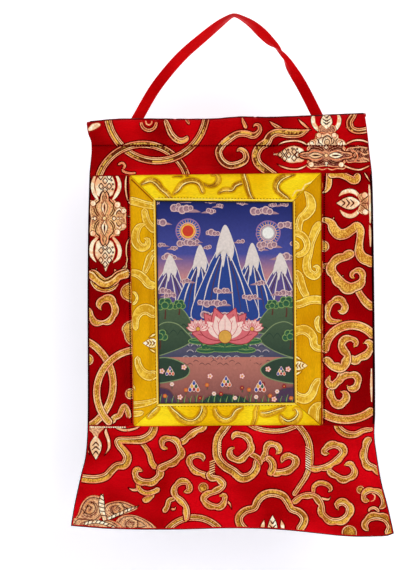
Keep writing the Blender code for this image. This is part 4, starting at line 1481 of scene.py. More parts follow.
def draw_skirt():
    """Scrolls, rings, a lobed flower and a feathery leaf across the skirt."""
    weave = Weave()
    weave.bands(SKIRT_BANDS)
    weave.patch(2, (
        (-147, 404), (-131, 404), (-129.5, 409), (-134, 414), (-137.5, 421), (-142, 414), (-147.5, 409),
    ), COPPER_BODY)
    weave.bud(3, (-138, 416.5), (-138, 441), 13.6)
    weave.dot(0, -30.7, 468.2, 5.6, GOLD_BODY)
    weave.dot(0, 114.6, 512.7, 8, GOLD_BODY)
    weave.dot(0.2, 126, 470.2, 4.5, GOLD_BODY)
    for x, lean in ((27.4, 3), (49.8, -3)):
        weave.petal("cream", 1, (x, 513), (x + lean, 499.5), 6)
    weave.bud(1.4, (38.5, 520), (38.5, 495.5), 11.5)
    lobes = (
        (
            (-160, 503), (-156, 494), (-153, 485), (-147, 477.5), (-139, 475.5), (-132, 478),
            (-129, 484), (-130, 492), (-134, 500), (-146, 506),
        ),
        (
            (-133, 494), (-130, 486), (-123, 482.5), (-113, 481.5), (-103, 484.5), (-96, 489),
            (-104, 493.5), (-114, 497), (-126, 501),
        ),
        (
            (-120, 511), (-117, 500), (-109, 495.5), (-98, 496), (-89, 499.5), (-81, 504.5), (-77, 511),
            (-96, 514),
        ),
        (
            (-166, 512), (-161, 499), (-150, 499), (-136, 501), (-122, 501), (-112, 507), (-116, 514),
            (-140, 514),
        ),
    )
    for index, outline in enumerate(lobes):
        level = 0.6 + 0.5 * index
        weave.patch(level, outline, COPPER_BODY)
        mid_x = sum(x for x, drop in outline) / len(outline)
        mid_drop = sum(drop for x, drop in outline) / len(outline)
        for share in (0.8, 0.62, 0.44, 0.26):
            ring = [
                (blend(mid_x, x, share), blend(mid_drop, drop, share), 0.7)
                for x, drop in (*outline, outline[0])
            ]
            weave.band("line" if share in (0.8, 0.44) else "pale_line", level + 0.3, ring)
    for x, drop in ((-144.7, 488.5), (-116, 489.6), (-102, 504.6)):
        for radius in (6.2, 4.2, 2):
            style = "pale_line" if radius == 4.2 else "line"
            weave.band(style, 3.2, arc(x, drop, radius, 150 + radius * 20, 410 + radius * 20, 0.8))
    ribs = (
        ((-131.6, 475, 3), (-132.4, 483, 6.4), (-131.6, 492, 6), (-129, 501, 4.4)),
        ((-95, 486.6, 1), (-103, 489.8, 3.2), (-113, 494, 3.8), (-126, 499.6, 3.4)),
        ((-150, 504.4, 3.6), (-140, 502.4, 4), (-131, 503.6, 3.8), (-121, 508, 3.4), (-112, 513.6, 3)),
    )
    for rib in ribs:
        weave.band("eye", 3.4, rib, ends="point")
        line = smooth_line(rib)
        for (x0, d0, wide), (x1, d1, zero) in zip(line[1:-3:3], line[2:-2:3]):
            across_rib = Vector((d0 - d1, x1 - x0)).normalized() * wide / 2
            forward = Vector((x1 - x0, d1 - d0)).normalized() * 1.2
            start = Vector((x0, d0)) - across_rib + forward
            end = Vector((x0, d0)) + across_rib - forward
            weave.band("line", 4, ((*start, 0.9), (*end, 0.9)), ends="cut")
    for step in range(10):
        drop = 429 + step * 2.3
        weave.band("cream_line", 1.6, ((71.4, drop - 1.9, 0.9), (76.4, drop + 1.3, 0.9)), ends="cut")
        weave.band("line", 1.5, ((71.6, drop - 0.8, 0.7), (76.2, drop + 2.3, 0.7)), ends="cut")
    for step in range(6):
        drop = 421 + step * 2.3
        weave.band("pale_line", 1.6, ((-15.4, drop - 0.8, 0.9), (-12.8, drop + 0.8, 0.9)), ends="cut")
        drop = 441.6 + step * 2.3
        weave.band("pale_line", 1.8, ((-24.4, drop + 1.2, 1), (-19.2, drop - 1, 1)), ends="cut")
        weave.band("line", 1.8, ((-24, drop + 2.3, 0.7), (-19.4, drop + 0.2, 0.7)), ends="cut")
    weave.band("seam_line", 0.4, ((-147, 407.9, 1.6), (-128, 408.2, 1.4), (-107, 408.4, 0.8)))
    weave.stitches(((-146, 407.7), (-108, 408)), 2.3, 1.6, 1.1, "cream_line")
    weave.clip((
        (0, lambda drop: left_edge(drop) + 1.2, -1), (0, lambda drop: right_edge(drop) - 1.2, 1),
        (1, lambda x: lower_seam(x) + 0.6, -1), (1, lambda x: bottom_edge(x) - 1.1, 1),
    ))
    return weave.lay("skirt_motifs", red_point, SKIRT_THREADS)


# Woven motifs of the yellow strips: style, level, points of the line (x, drop, width)
TOP_STRIP = (
    ("scroll", 1, (
        (-96, 168.5, 2), (-89.5, 163.8, 5.5), (-83, 161.6, 6.5), (-77.2, 164.2, 7.5), (-72.6, 170, 6.5),
        (-67, 175, 6), (-62, 182, 4),
    )),
    ("scroll", 1, (
        (-62, 177, 2), (-56.5, 171.4, 6), (-51, 164.8, 6.5), (-43.4, 161.9, 7), (-36.4, 163.4, 6.5),
        (-33, 168, 6), (-30.6, 176, 5),
    )),
    ("plain", 0.4, ((-42, 161.5, 3), (-46.5, 157.5, 5), (-49, 151, 5))),
    ("plain", 0, ((-62.5, 158.4, 2.5), (-56, 157.6, 4), (-50, 158, 4))),
    ("plain", 0.6, (
        (-38, 162, 4), (-31.4, 165, 5), (-25, 167.3, 5.2), (-19, 165.9, 6.5), (-15.6, 161, 7.5),
        (-18, 156, 5.5), (-24, 156.5, 3),
    )),
    ("scroll", 1, (
        (-17, 175.5, 3), (-10, 171.4, 5.6), (-2, 171, 5.6), (1.4, 166.6, 6), (8.6, 164, 5.6),
        (12, 166.6, 4.6),
    )),
    ("scroll", 1.4, (
        (8.6, 151, 5.5), (10.4, 158, 6), (12.4, 165, 6.6), (14.2, 171.6, 6), (16.4, 177.2, 5.5),
        (21.4, 184, 4),
    )),
    ("scroll", 1, (
        (62.5, 155.8, 2), (53.5, 157.3, 6), (46.3, 160.2, 8), (42.6, 166, 7.5), (43.2, 171, 6.6),
        (47.4, 175.2, 6), (53, 179, 5), (57, 183, 3),
    )),
    ("pale_line", 0.2, (
        (58, 178, 0.6), (62, 172, 1.2), (68, 171, 1.4), (71, 166, 1.2), (77, 163.4, 1.2),
        (83, 158, 0.6),
    )),
    ("plain", 0.1, ((61, 180, 1), (64.6, 175, 4), (70.6, 172, 4), (75, 166.6, 3), (81, 163, 1))),
)
BOTTOM_STRIP = (
    ("scroll", 1, ((-74, 386, 5), (-80.6, 393, 7), (-87.5, 399.4, 5))),
    ("scroll", 1, (
        (-66, 384, 4), (-61.4, 390.4, 6), (-57.2, 394.6, 7), (-53, 399, 8), (-47, 401.8, 7.2),
        (-40.6, 402, 7), (-34.8, 398.6, 8), (-31.4, 393.4, 8.5), (-31.4, 388, 6.5), (-34.4, 384, 4),
    )),
    ("scroll", 1, (
        (-19.5, 387, 4), (-17.6, 394.6, 6.5), (-13, 399.4, 7), (-7, 400.6, 6.6), (-1.6, 397.6, 6.6),
        (2.4, 391.4, 6.4), (10, 387.2, 4),
    )),
    ("plain", 1, ((24.4, 385, 4), (21.8, 392, 6.4), (21.4, 398.6, 6.2), (18, 408, 6))),
    ("scroll", 0.6, (
        (24.4, 393, 5), (31.8, 394.8, 7.2), (40, 392.4, 7), (47, 389.4, 6), (52.4, 386.6, 3),
    )),
    ("scroll", 0.8, (
        (45.4, 394, 3), (48.6, 400.2, 7), (54.6, 403.2, 8), (61.6, 400.2, 8.2), (64.8, 394.4, 7.4),
        (61.6, 389.8, 5), (58, 391.6, 2),
    )),
)
LEFT_STRIP = (
    ("veined", 0, ((-107, 181, 9), (-98, 183, 9), (-89, 185.6, 8.5), (-78, 187.6, 8))),
    ("veined", 0.6, ((-89.8, 189, 7.5), (-88.6, 197, 8.4), (-85.6, 205, 9), (-77.6, 213, 9))),
    ("veined", 1, (
        (-87.6, 205, 2), (-94.4, 207.4, 7), (-98.2, 214.4, 9), (-98, 223, 10), (-92.6, 228.6, 9.5),
        (-86.8, 226.6, 8), (-86.2, 220.8, 6), (-90.4, 219.4, 2),
    )),
    ("veined", 0, ((-77, 231.5, 7), (-83.6, 237.6, 8), (-86.6, 246, 8), (-90, 255, 6))),
    ("veined", 0.8, (
        (-107, 253.5, 7), (-97.4, 254.4, 9), (-90.6, 259, 9.5), (-84.6, 265.4, 9.5), (-77, 266.8, 9),
    )),
    ("veined", 0, arc(-103.5, 279, 6.6, -75, 75, 4)),
    ("veined", 0.4, (
        (-98, 311.5, 7), (-98.6, 301, 8.6), (-94.4, 292.6, 11), (-86.4, 290.4, 12), (-77, 297.5, 11),
    )),
    ("veined", 0.4, (
        (-96.6, 337, 6.6), (-95.6, 345.6, 8), (-91.2, 353.4, 10), (-84.4, 356.6, 11), (-76, 353.6, 9),
    )),
    ("veined", 0.2, ((-104.5, 365, 6), (-100, 368, 3), (-98.4, 372, 1))),
    ("veined", 0, ((-106, 386.4, 8), (-96, 385.4, 8), (-86, 383.6, 7), (-76, 380, 5))),
    ("veined", 0, ((-106, 395, 6), (-97, 394.6, 7), (-90, 393, 5))),
)
RIGHT_STRIP = (
    ("veined", 1, (
        (70, 172, 2), (75.4, 179, 9), (77, 188, 11), (72.4, 195, 11), (66.6, 200, 9), (64.6, 207.4, 8),
        (66.4, 213.4, 6),
    )),
    ("veined", 0.6, (
        (88, 203, 9), (82.4, 209.4, 10), (79, 217.4, 9.4), (76.2, 225.2, 9), (75, 234, 8.6),
        (72.6, 243, 9.4), (73.6, 252.2, 10), (80, 256.8, 9.6), (84.8, 252.6, 7.6), (82.4, 247.4, 5),
        (78.6, 248.2, 1.6),
    )),
    ("veined", 1, (
        (57, 213.4, 8), (65.4, 215, 8.4), (71, 219.6, 8), (73, 227, 7.6), (69.6, 233.6, 7.4),
        (61, 237, 7),
    )),
    ("veined", 0, ((58, 222, 5), (63, 226.4, 6.5), (61, 231, 4))),
    ("veined", 0.4, (
        (59, 252, 7), (64.6, 256.6, 9), (67, 264.6, 9.6), (69.6, 272, 9), (74, 279.4, 7.6),
    )),
    ("veined", 0.8, ((57, 286, 9), (66, 284.8, 9), (74.4, 281.4, 9.4), (82, 280.6, 9.6), (92, 282, 9))),
    ("veined", 0.4, ((84.8, 296.6, 4), (82.4, 303, 6), (84.4, 311, 5), (90, 313, 4))),
    ("veined", 0.8, (
        (57, 316.6, 9), (63.4, 311.6, 10), (71.4, 311, 11), (78.4, 317.4, 10), (80, 326, 8.6),
        (85, 329.4, 8), (92, 328, 7),
    )),
    ("veined", 0.4, (
        (85.6, 359, 7), (80.8, 366.4, 9), (77.6, 374.6, 10), (71.4, 379.6, 11), (63.4, 377.6, 10),
        (57, 371, 8),
    )),
    ("veined", 0, ((92, 384, 4), (83, 387, 9), (79.4, 393.4, 12), (80.6, 401, 9), (78, 408, 4))),
)


def mitre_x(first, second, side):
    """Line of a mitre, from a corner of the picture to a corner of the frame, as x over drop."""
    (x0, d0), (x1, d1) = first, second
    return lambda drop: x0 + (x1 - x0) * (drop - d0) / (d1 - d0) + side


def mitre_drop(first, second, down):
    """Line of a mitre, from a corner of the picture to a corner of the frame, as drop over x."""
    (x0, d0), (x1, d1) = first, second
    return lambda x: d0 + (d1 - d0) * (x - x0) / (x1 - x0) + down


def draw_strips():
    """Scrolls on the four yellow strips, each cut off along its mitres."""
    made = []
    corners = list(zip(WINDOW, FRAME))
    parts = (
        ("yellow_top_motifs", TOP_STRIP, YELLOW_THREADS, 0, 1, lambda x: upper_seam(x) - 4, -1),
        (
            "yellow_bottom_motifs", BOTTOM_STRIP, LOWER_YELLOW_THREADS, 3, 2,
            lambda x: lower_seam(x) + 4, 1,
        ),
    )
    for name, bands, threads, left, right, outer, way in parts:
        weave = Weave()
        weave.bands(bands)
        (x0, d0), (x1, d1) = WINDOW[left], WINDOW[right]
        # Light line along the rolled inner edge next to the picture: painted highlight
        weave.band("blush_line", 1.5, ((x0 - 2, d0 + way * 1.4, 1.2), (x1 + 2, d1 + way * 1.4, 1.2)))
        weave.stitches(((x0 + 2, d0 + way * 2.7), (x1 - 2, d1 + way * 2.7)), 3.2, 1.1, 0.55, level=2)
        inner = curve_through(((x0, d0 + way * 0.9), (x1, d1 + way * 0.9)))
        weave.clip((
            (0, mitre_x(*corners[left], 0.8), -1), (0, mitre_x(*corners[right], -0.8), 1),
            (1, outer, way), (1, inner, -way),
        ))
        made.append(weave.lay(name, yellow_point, threads))
    parts = (
        ("yellow_left_motifs", LEFT_STRIP, 0, 3, -1, (-84, 324)),
        ("yellow_right_motifs", RIGHT_STRIP, 1, 2, 1, (66.4, 346.5)),
    )
    for name, bands, top, foot, way, jewel in parts:
        weave = Weave()
        weave.bands(bands)
        x, drop = jewel
        weave.petal("cream", 0.6, (x - way * 7, drop - 10), (x + way * 2, drop - 5), 4)
        weave.petal("cream", 0.6, (x - way * 7, drop + 10), (x + way * 2, drop + 5), 4)
        weave.bud(1, (x - way * 9, drop), (x + way * 7.5, drop), 10.5)
        (x0, d0), (x1, d1) = WINDOW[top], WINDOW[foot]
        # Light line along the rolled inner edge next to the picture: painted highlight
        weave.band("blush_line", 1.5, ((x0 + way * 1.4, d0 - 2, 1.2), (x1 + way * 1.4, d1 + 2, 1.2)))
        weave.stitches(((x0 + way * 2.7, d0 + 2), (x1 + way * 2.7, d1 - 2)), 3.4, 1.2, 0.6, level=2)
        inner = curve_through(((d0, x0 + way * 0.9), (d1, x1 + way * 0.9)))
        (x0, d0), (x1, d1) = FRAME[top], FRAME[foot]
        outer = curve_through(((d0, x0 + way * 2), (d1, x1 + way * 2)))
        weave.clip((
            (0, outer, way), (0, inner, -way), (1, mitre_drop(*corners[top], 0.8), -1),
            (1, mitre_drop(*corners[foot], -0.8), 1),
        ))
        if way < 0:
            (x0, d0), (x1, d1) = corners[top]
            weave.band("seam_line", 0.6, ((x0 - 1, d0 + 1.8, 1), (x1 + 1.4, d1 + 4.2, 1.3)), ends="cut")
        made.append(weave.lay(name, yellow_point, SIDE_YELLOW_THREADS))
    return made


# Printed picture: a quiet mountain lake, drawn in flat layers over x and drop
# The darkest paint, used only for the strokes round the window, is painted shadow of the yellow frame's
# edge, not print.
PAINTS = {
    "night": (10, 34, 116), "azure": (110, 104, 156), "cloud": (170, 128, 136),
    "cloud_rim": (226, 190, 184), "cloud_dark": (104, 74, 104), "sun": (206, 56, 34),
    "sun_rim": (240, 186, 70), "moon": (240, 238, 230), "halo": (44, 74, 160),
    "halo_rim": (156, 112, 158), "snow": (226, 214, 206), "snow_shade": (32, 62, 138),
    "far_hill": (88, 70, 132), "rock": (74, 50, 76), "hill": (62, 100, 76),
    "hill_light": (128, 146, 100), "hill_dark": (30, 56, 44), "leaf": (40, 92, 60),
    "leaf_light": (128, 158, 84), "water": (90, 108, 126), "water_light": (188, 178, 176),
    "water_dark": (40, 56, 90), "petal": (216, 104, 110), "petal_light": (246, 212, 200),
    "crimson": (150, 24, 38), "gold": (220, 164, 66), "ground": (176, 112, 98),
    "ground_dark": (112, 66, 62), "trunk": (84, 44, 32), "jewel": (40, 70, 150),
    "orange": (216, 104, 48), "painted_frame_shadow": (30, 22, 34),
}
PAINT_NAMES = tuple(PAINTS)
GRADED = {
    "night": ((4, 24, 96), (66, 72, 150), 184, 235),
    "azure": ((66, 72, 150), (226, 150, 124), 235, 268),
    "water": ((116, 104, 116), (44, 56, 88), 306, 346),
    "ground": ((190, 118, 102), (112, 62, 62), 338, 388),
    "hill": ((74, 96, 66), (40, 62, 46), 286, 336),
}


def paint(name):
    """Printed colour with the weave of the cloth in it, graded downwards where GRADED says so."""
    graph = Graph("print_" + name, 0.62)
    graph.shader.inputs["Specular IOR Level"].default_value = 0.25
    red, green, blue = PAINTS[name]
    base = colour(red, green, blue)
    if name in GRADED:
        upper, lower, start, end = GRADED[name]
        height = graph.add("ShaderNodeSeparateXYZ", 2, Vector=graph.place)
        share = graph.span(height, -start * MM, -end * MM)
        base = graph.mix(share, colour(*upper), colour(*lower))
    grain = graph.noise(420, 2)
    dark = graph.mix(0.5, base, colour(0, 0, 0))
    base = graph.mix(graph.span(grain, 0.3, 0.75, 0.34, 0.0), base, dark)
    warp = graph.lines("X", 1500, 0.3)
    weft = graph.lines("Z", 1500, 0.3)
    height = graph.combine("MULTIPLY", warp, weft)
    return graph.finish(base, height, 0.00003)


class Painting(Weave):
    """Flat layers of print on the picture cloth."""

    def __init__(self):
        super().__init__(PAINT_NAMES, 0.14, 0.012, 0.004, 0.0)

    def fill(self, level, outline, paint_name, rim=None, rim_wide=0.6):
        stripes = ((rim, rim_wide), (paint_name, None)) if rim else ((paint_name, 0.2), (paint_name, None))
        self.patch(level, outline, stripes)

    def disc(self, level, x, drop, radius, paint_name, rim=None, rim_wide=0.6):
        self.fill(level, circle(x, drop, radius), paint_name, rim, rim_wide)

    def stroke(self, level, points, paint_name):
        self.band(paint_name, level, points, ends="cut" if paint_name == "painted_frame_shadow" else "point")

    def cloud(self, level, x, drop, lobes, size, way=1):
        """Row of curled lobes that trails off to one side."""
        tail = [
            (x - way * size * 0.8, drop + size * 0.3, size * 0.9),
            (x + way * lobes * size, drop + size * 0.5, size),
            (x + way * (lobes + 2.4) * size, drop + size * 0.9, 0.2),
        ]
        self.stroke(level, tail, "cloud")
        for index in range(lobes):
            grown = size * (1.0 + 0.25 * math.sin(index * 2.1 + x))
            px = x + way * index * size * 1.15
            pd = drop - size * 0.25 * math.sin(index * 1.7 + drop)
            self.disc(level + 1 + index, px, pd, grown, "cloud", "cloud_rim", grown * 0.24)
            curl = arc(px, pd, grown * 0.42, 160, 420, 0.5)
            self.stroke(level + 1.5 + index, curl, "cloud_dark")

    def flower_petal(self, level, x, drop, angle, length, wide, paint_name, tip):
        """Petal that grows from (x, drop) at an angle in degrees from straight up."""
        a = math.radians(angle)
        up = Vector((math.sin(a), -math.cos(a)))
        side = Vector((-up.y, up.x))
        base = Vector((x, drop))
        outline = [
            base, base + up * length * 0.3 + side * wide * 0.42,
            base + up * length * 0.62 + side * wide * 0.5,
            base + up * length * 0.86 + side * wide * 0.22, base + up * length,
            base + up * length * 0.86 - side * wide * 0.22,
            base + up * length * 0.62 - side * wide * 0.5,
            base + up * length * 0.3 - side * wide * 0.42,
        ]
        self.fill(level, [tuple(point) for point in outline], paint_name, tip, 0.7)
        vein = [(*(base + up * length * share), 0.5) for share in (0.2, 0.5, 0.8)]
        self.stroke(level + 0.5, vein, tip)

    def lotus(self, level, x, drop, size, outer="petal", inner="petal_light", tip="crimson"):
        """Open lotus: outer petals, inner petals and a gold heart."""
        for index, angle in enumerate((-78, 78, -58, 58, -38, 38, -18, 18)):
            self.flower_petal(level + index * 0.6, x, drop, angle, size, size * 0.46, outer, tip)
        for index, angle in enumerate((-44, 44, -22, 22, 0)):
            self.flower_petal(
                level + 6 + index * 0.6, x, drop, angle, size * 0.78, size * 0.4, inner, outer,
            )
        self.disc(level + 10, x, drop - size * 0.1, size * 0.2, "gold", "crimson", 0.5)

    def tree(self, level, x, drop, high, crown):
        self.stroke(level, (
            (x, drop, 1.8), (x + 0.6, drop - high * 0.5, 1.3), (x, drop - high, 0.8),
        ), "trunk")
        for index, (dx, dd) in enumerate((
            (-0.9, 0.1), (0.9, 0), (-0.45, -0.75), (0.5, -0.8), (0, -0.1),
        )):
            px, pd = x + dx * crown, drop - high + dd * crown
            self.disc(level + 1 + index * 0.5, px, pd, crown * 0.72, "leaf", "leaf_light", crown * 0.16)
            self.stroke(level + 4, arc(px, pd, crown * 0.3, 200, 330, 0.5), "hill_dark")

    def jewels(self, level, x, drop, size):
        """Small heap of drop-shaped jewels."""
        spots = (
            (-1.5, 0, "jewel"), (1.5, 0, "orange"), (0, -0.2, "crimson"), (-0.8, -1.3, "gold"),
            (0.8, -1.3, "leaf"), (0, -2.5, "jewel"),
        )
        for index, (dx, dd, name) in enumerate(spots):
            px, pd = x + dx * size, drop + dd * size
            outline = [
                (px - size * 0.8, pd), (px, pd - size * 1.5), (px + size * 0.8, pd),
                (px, pd + size * 0.8),
            ]
            self.fill(level + index, outline, name, "petal_light", size * 0.22)


def draw_picture():
    """Lake with a great lotus under snow peaks, sun and moon, and jewels on the near shore."""
    art = Painting()
    left, right = -84, 65
    for level, top, foot, name in (
        (0, 176, 235, "night"), (0, 235, 294, "azure"), (4, 306, 348, "water"), (6, 338, 392, "ground"),
    ):
        for start in range(left, right, 10):
            rows = spread(top, foot, 8)
            for first, second in zip(rows, rows[1:]):
                corners = [(start, first), (start + 10, first), (start + 10, second), (start, second)]
                height = art.first + art.step * level
                made = [art.shape.verts.new((x, drop, height)) for x, drop in corners]
                art.face(made[::-1], name)
    for index in range(9):
        art.cloud(
            0.6, -76 + index * 16, 184 + 3 * math.sin(index * 1.9), 3, 1.9, 1 if index % 2 else -1,
        )
        art.cloud(
            0.8, -74 + index * 16.5, 226 + 4 * math.sin(index * 2.3), 3, 1.8, -1 if index % 2 else 1,
        )
    for x, drop, lobes, size, way in (
        (-60, 190, 5, 3.6, 1), (-78, 203, 3, 3.0, 1), (20, 192, 5, 3.4, 1), (57, 206, 4, 3.0, -1),
        (-26, 214, 4, 2.8, 1), (-70, 238, 4, 3.0, 1), (56, 238, 4, 3.2, -1), (-20, 192, 3, 2.4, -1),
    ):
        art.cloud(1, x, drop, lobes, size, way)
    for x, drop, disc, rim in ((-46, 212, "sun", "sun_rim"), (34, 214, "moon", "water_light")):
        art.disc(2, x, drop, 12.5, "halo", "halo_rim", 1.2)
        for angle in spread(0, math.tau, 24)[:-1]:
            ray = [(x + reach * math.cos(angle), drop + reach * math.sin(angle), wide)
                   for reach, wide in ((7.5, 0.4), (9.8, 0.7), (11.6, 0.3))]
            art.stroke(3.5, ray, "gold")
        art.disc(3, x, drop, 8.4, "petal" if disc == "sun" else "halo_rim", "petal_light", 0.6)
        art.disc(4, x, drop, 7, disc, rim, 1.4)
        art.cloud(5, x - 8, drop + 12, 5, 3.0)
    peaks = (
        (-64, 236, 26, 58, "far_hill"), (46, 234, 26, 60, "far_hill"), (-34, 226, 26, 70, "snow_shade"),
        (18, 224, 26, 72, "snow_shade"), (-9, 206, 34, 92, "snow_shade"),
    )
    for index, (x, top, wide, high, name) in enumerate(peaks):
        foot = top + high
        outline = [
            (x, top), (x + wide * 0.3, top + high * 0.24), (x + wide * 0.5, top + high * 0.5),
            (x + wide, foot), (x, foot + 2), (x - wide, foot), (x - wide * 0.52, top + high * 0.48),
            (x - wide * 0.26, top + high * 0.28),
        ]
        art.fill(6 + index, outline, name, "snow", 0.8)
        cap = [(x, top), (x + wide * 0.26, top + high * 0.24), (x + wide * 0.16, top + high * 0.4),
               (x + wide * 0.05, top + high * 0.3), (x - wide * 0.06, top + high * 0.46),
               (x - wide * 0.14, top + high * 0.3), (x - wide * 0.27, top + high * 0.36),
               (x - wide * 0.22, top + high * 0.2)]
        art.fill(6.5 + index, cap, "snow")
        for way in (-1, 1):
            for share in (0.3, 0.55, 0.8):
                ridge = (
                    (x + way * wide * share * 0.2, top + high * 0.34, 0.8),
                    (x + way * wide * share * 0.62, top + high * 0.64, 1.2),
                    (x + way * wide * share * 0.86, top + high * 0.94, 0.4),
                )
                art.stroke(6.7 + index, ridge, "snow" if share != 0.55 else "rock")
    for x, drop, lobes, size, way in (
        (-80, 272, 6, 2.6, 1), (58, 274, 6, 2.6, -1), (-52, 262, 4, 2.2, 1), (30, 264, 4, 2.2, -1),
        (-18, 272, 5, 2.4, 1), (-80, 286, 6, 3.2, 1), (58, 286, 6, 3.2, -1), (-34, 284, 8, 3.0, 1),
        (10, 278, 5, 2.4, 1), (-60, 276, 4, 2.2, -1), (-30, 296, 12, 3.0, 1),
    ):
        art.cloud(14, x, drop, lobes, size, way)
    hills = (
        (
            (-86, 300), (-76, 287), (-62, 283), (-50, 291), (-42, 303), (-36, 312), (-60, 316),
            (-86, 316),
        ),
        ((66, 296), (56, 285), (42, 283), (32, 292), (24, 303), (18, 312), (40, 316), (66, 316)),
        ((-86, 318), (-72, 304), (-58, 304), (-48, 312), (-42, 322), (-60, 332), (-86, 338)),
        ((66, 314), (54, 303), (42, 304), (32, 312), (26, 322), (44, 334), (66, 338)),
    )
    for index, outline in enumerate(hills):
        art.fill(24 + index, outline, "hill", "hill_light", 0.9)
        middle = sum(x for x, drop in outline) / len(outline)
        for step in range(4):
            x = middle + (step - 1.5) * 8
            art.stroke(25 + index, (
                (x - 4, 309 + index * 3 + step % 2, 0.4), (x, 305 + index * 3, 0.8),
                (x + 4, 309 + index * 3 + step % 2, 0.4),
            ), "hill_dark")
    for x, drop, high, crown in (
        (-69, 300, 13, 5.4), (-55, 296, 9, 4.2), (52, 298, 13, 5.2), (38, 296, 9, 4.2),
        (-74, 330, 12, 5), (56, 330, 12, 5),
    ):
        art.tree(28, x, drop, high, crown)
    for row in range(5):
        drop = 314 + row * 6
        for step in range(10):
            x = -48 + step * 8.4 + (row % 2) * 4.2
            art.stroke(5, arc(x, drop + 2.4, 3.6, 205, 335, 0.7), "water_light")
            art.stroke(5, arc(x, drop + 3.8, 3.0, 205, 335, 0.6), "water_dark")
    for x, drop, wide, high in (
        (-34, 322, 12, 3.6), (16, 322, 12, 3.6), (-9, 328, 24, 5.4), (-28, 331, 10, 3.2),
        (12, 331, 10, 3.2),
    ):
        outline = [(x + wide * math.cos(a), drop + high * math.sin(a)) for a in spread(0, math.tau, 12)[:-1]]
        art.fill(30, outline, "leaf", "leaf_light", 0.7)
        for angle in (200, 235, 270, 305, 340):
            a = math.radians(angle)
            vein = (
                (x, drop, 0.5), (x + wide * 0.4 * math.cos(a), drop + high * 0.4 * math.sin(a), 0.5),
                (x + wide * 0.8 * math.cos(a), drop + high * 0.8 * math.sin(a), 0.4),
            )
            art.stroke(31, vein, "leaf_light")
    for x, lean in ((-9, 0), (-31, -5), (13, 5)):
        art.stroke(31, ((x, 330, 1.6), (x + lean * 0.6, 318, 1.4), (x + lean, 306, 1.2)), "leaf")
    art.lotus(34, -9, 321, 34)
    art.lotus(48, -36, 311, 12, "petal_light", "petal", "petal")
    art.lotus(48, 18, 311, 12, "petal_light", "petal", "petal")
    banks = (
        ((-86, 344), (-72, 338), (-56, 341), (-44, 350), (-52, 360), (-86, 364)),
        ((66, 344), (54, 338), (38, 341), (26, 350), (36, 360), (66, 364)),
        ((-86, 372), (-74, 368), (-62, 373), (-56, 392), (-86, 392)),
        ((66, 370), (52, 368), (42, 374), (38, 392), (66, 392)),
        ((-36, 392), (-28, 378), (-14, 374), (-2, 375), (12, 379), (20, 392)),
    )
    for index, outline in enumerate(banks):
        name = "hill" if index < 2 else ("rock" if index < 4 else "hill_dark")
        art.fill(32 + index, outline, name, "hill_light" if index < 2 else "ground_dark", 1.0)
    for x, drop, size in (
        (-40, 371, 2.6), (26, 371, 2.6), (-8, 366, 2.4), (-64, 355, 2.0), (47, 355, 2.0),
    ):
        art.jewels(60, x, drop, size)
    for x, drop in (
        (-72, 352), (-50, 348), (34, 350), (54, 350), (-24, 357), (8, 357), (-54, 378), (40, 380),
    ):
        for angle in range(0, 360, 72):
            a = math.radians(angle)
            art.disc(
                58, x + 1.7 * math.cos(a), drop + 1.7 * math.sin(a), 1.2, "petal_light", "petal", 0.3,
            )
        art.disc(59, x, drop, 1.0, "sun_rim", "sun", 0.3)
    for index, x in enumerate(range(-76, 60, 7)):
        drop = 372 + 7 * math.sin(index * 2.4)
        art.stroke(56, ((x, drop + 4.6, 0.5), (x + 0.6, drop + 2, 0.5), (x, drop, 0.4)), "leaf")
        for angle in range(0, 360, 60):
            a = math.radians(angle)
            art.disc(
                57, x + 1.3 * math.cos(a), drop + 1.3 * math.sin(a), 0.9,
                ("crimson", "orange", "petal_light")[index % 3],
            )
        art.disc(58, x, drop, 0.7, "gold")
    for x in range(-80, 62, 6):
        wave = 2.0 * math.sin(x * 0.7)
        art.stroke(7, (
            (x - 3, 345 + wave, 0.4), (x, 343 + wave, 0.9), (x + 3, 345 + wave, 0.4),
        ), "ground_dark")
        art.stroke(38, (
            (x, 384, 0.9), (x + 0.8, 379 + wave * 0.5, 0.7), (x + 2, 376 + wave * 0.5, 0.3),
        ), "leaf_light")
        art.stroke(38, (
            (x, 384, 0.9), (x - 1, 380 + wave * 0.5, 0.7), (x - 2.4, 377 + wave, 0.3),
        ), "leaf")
    (x0, d0), (x1, d1), (x2, d2), (x3, d3) = PICTURE_CUT
    art.clip((
        (0, lambda drop: x0 + 1.2 + (x3 - x0) * (drop - d0) / (d3 - d0), -1),
        (0, lambda drop: x1 - 1.2 + (x2 - x1) * (drop - d1) / (d2 - d1), 1),
        (1, lambda x: d0 + 1.2, -1), (1, lambda x: d2 - 1.4, 1),
    ))
    # Dark strokes just inside the window, widest at the top and left: painted shadow of the yellow frame's
    # edge.
    for start, end, wide in (
        (WINDOW[0], WINDOW[1], 1.6), (WINDOW[0], WINDOW[3], 1.3), (WINDOW[3], WINDOW[2], 1.0),
        (WINDOW[1], WINDOW[2], 1.0),
    ):
        art.stroke(70, ((*start, wide * 2), (*end, wide * 2)), "painted_frame_shadow")
    return art.lay("picture_print", picture_point, {name: paint(name) for name in PAINT_NAMES})


# Drops at which the pieces' widths are taken for the spacing of their lines
HEADING_FOOT = 150
HEADING_TOP = 104
STRIP_MIDDLE = 281
SKIRT_HEAD = 407

# Lengths of the pieces for the same use, and pitches of their lines
STRIP_LONG = 250
SKIRT_LONG = 104
LINING_SIZE = (300, 385)
LINING_PITCH = 5
PICTURE_SIZE = (147, 212)
PICTURE_PITCH = 3.5
RED_PITCH = 2.2
BORDER_PITCH_ACROSS = 1.6
BORDER_PITCH_ALONG = 2.0

# Drop over which the lining comes out beside the cloth in front of it
LINING_FADE = 20


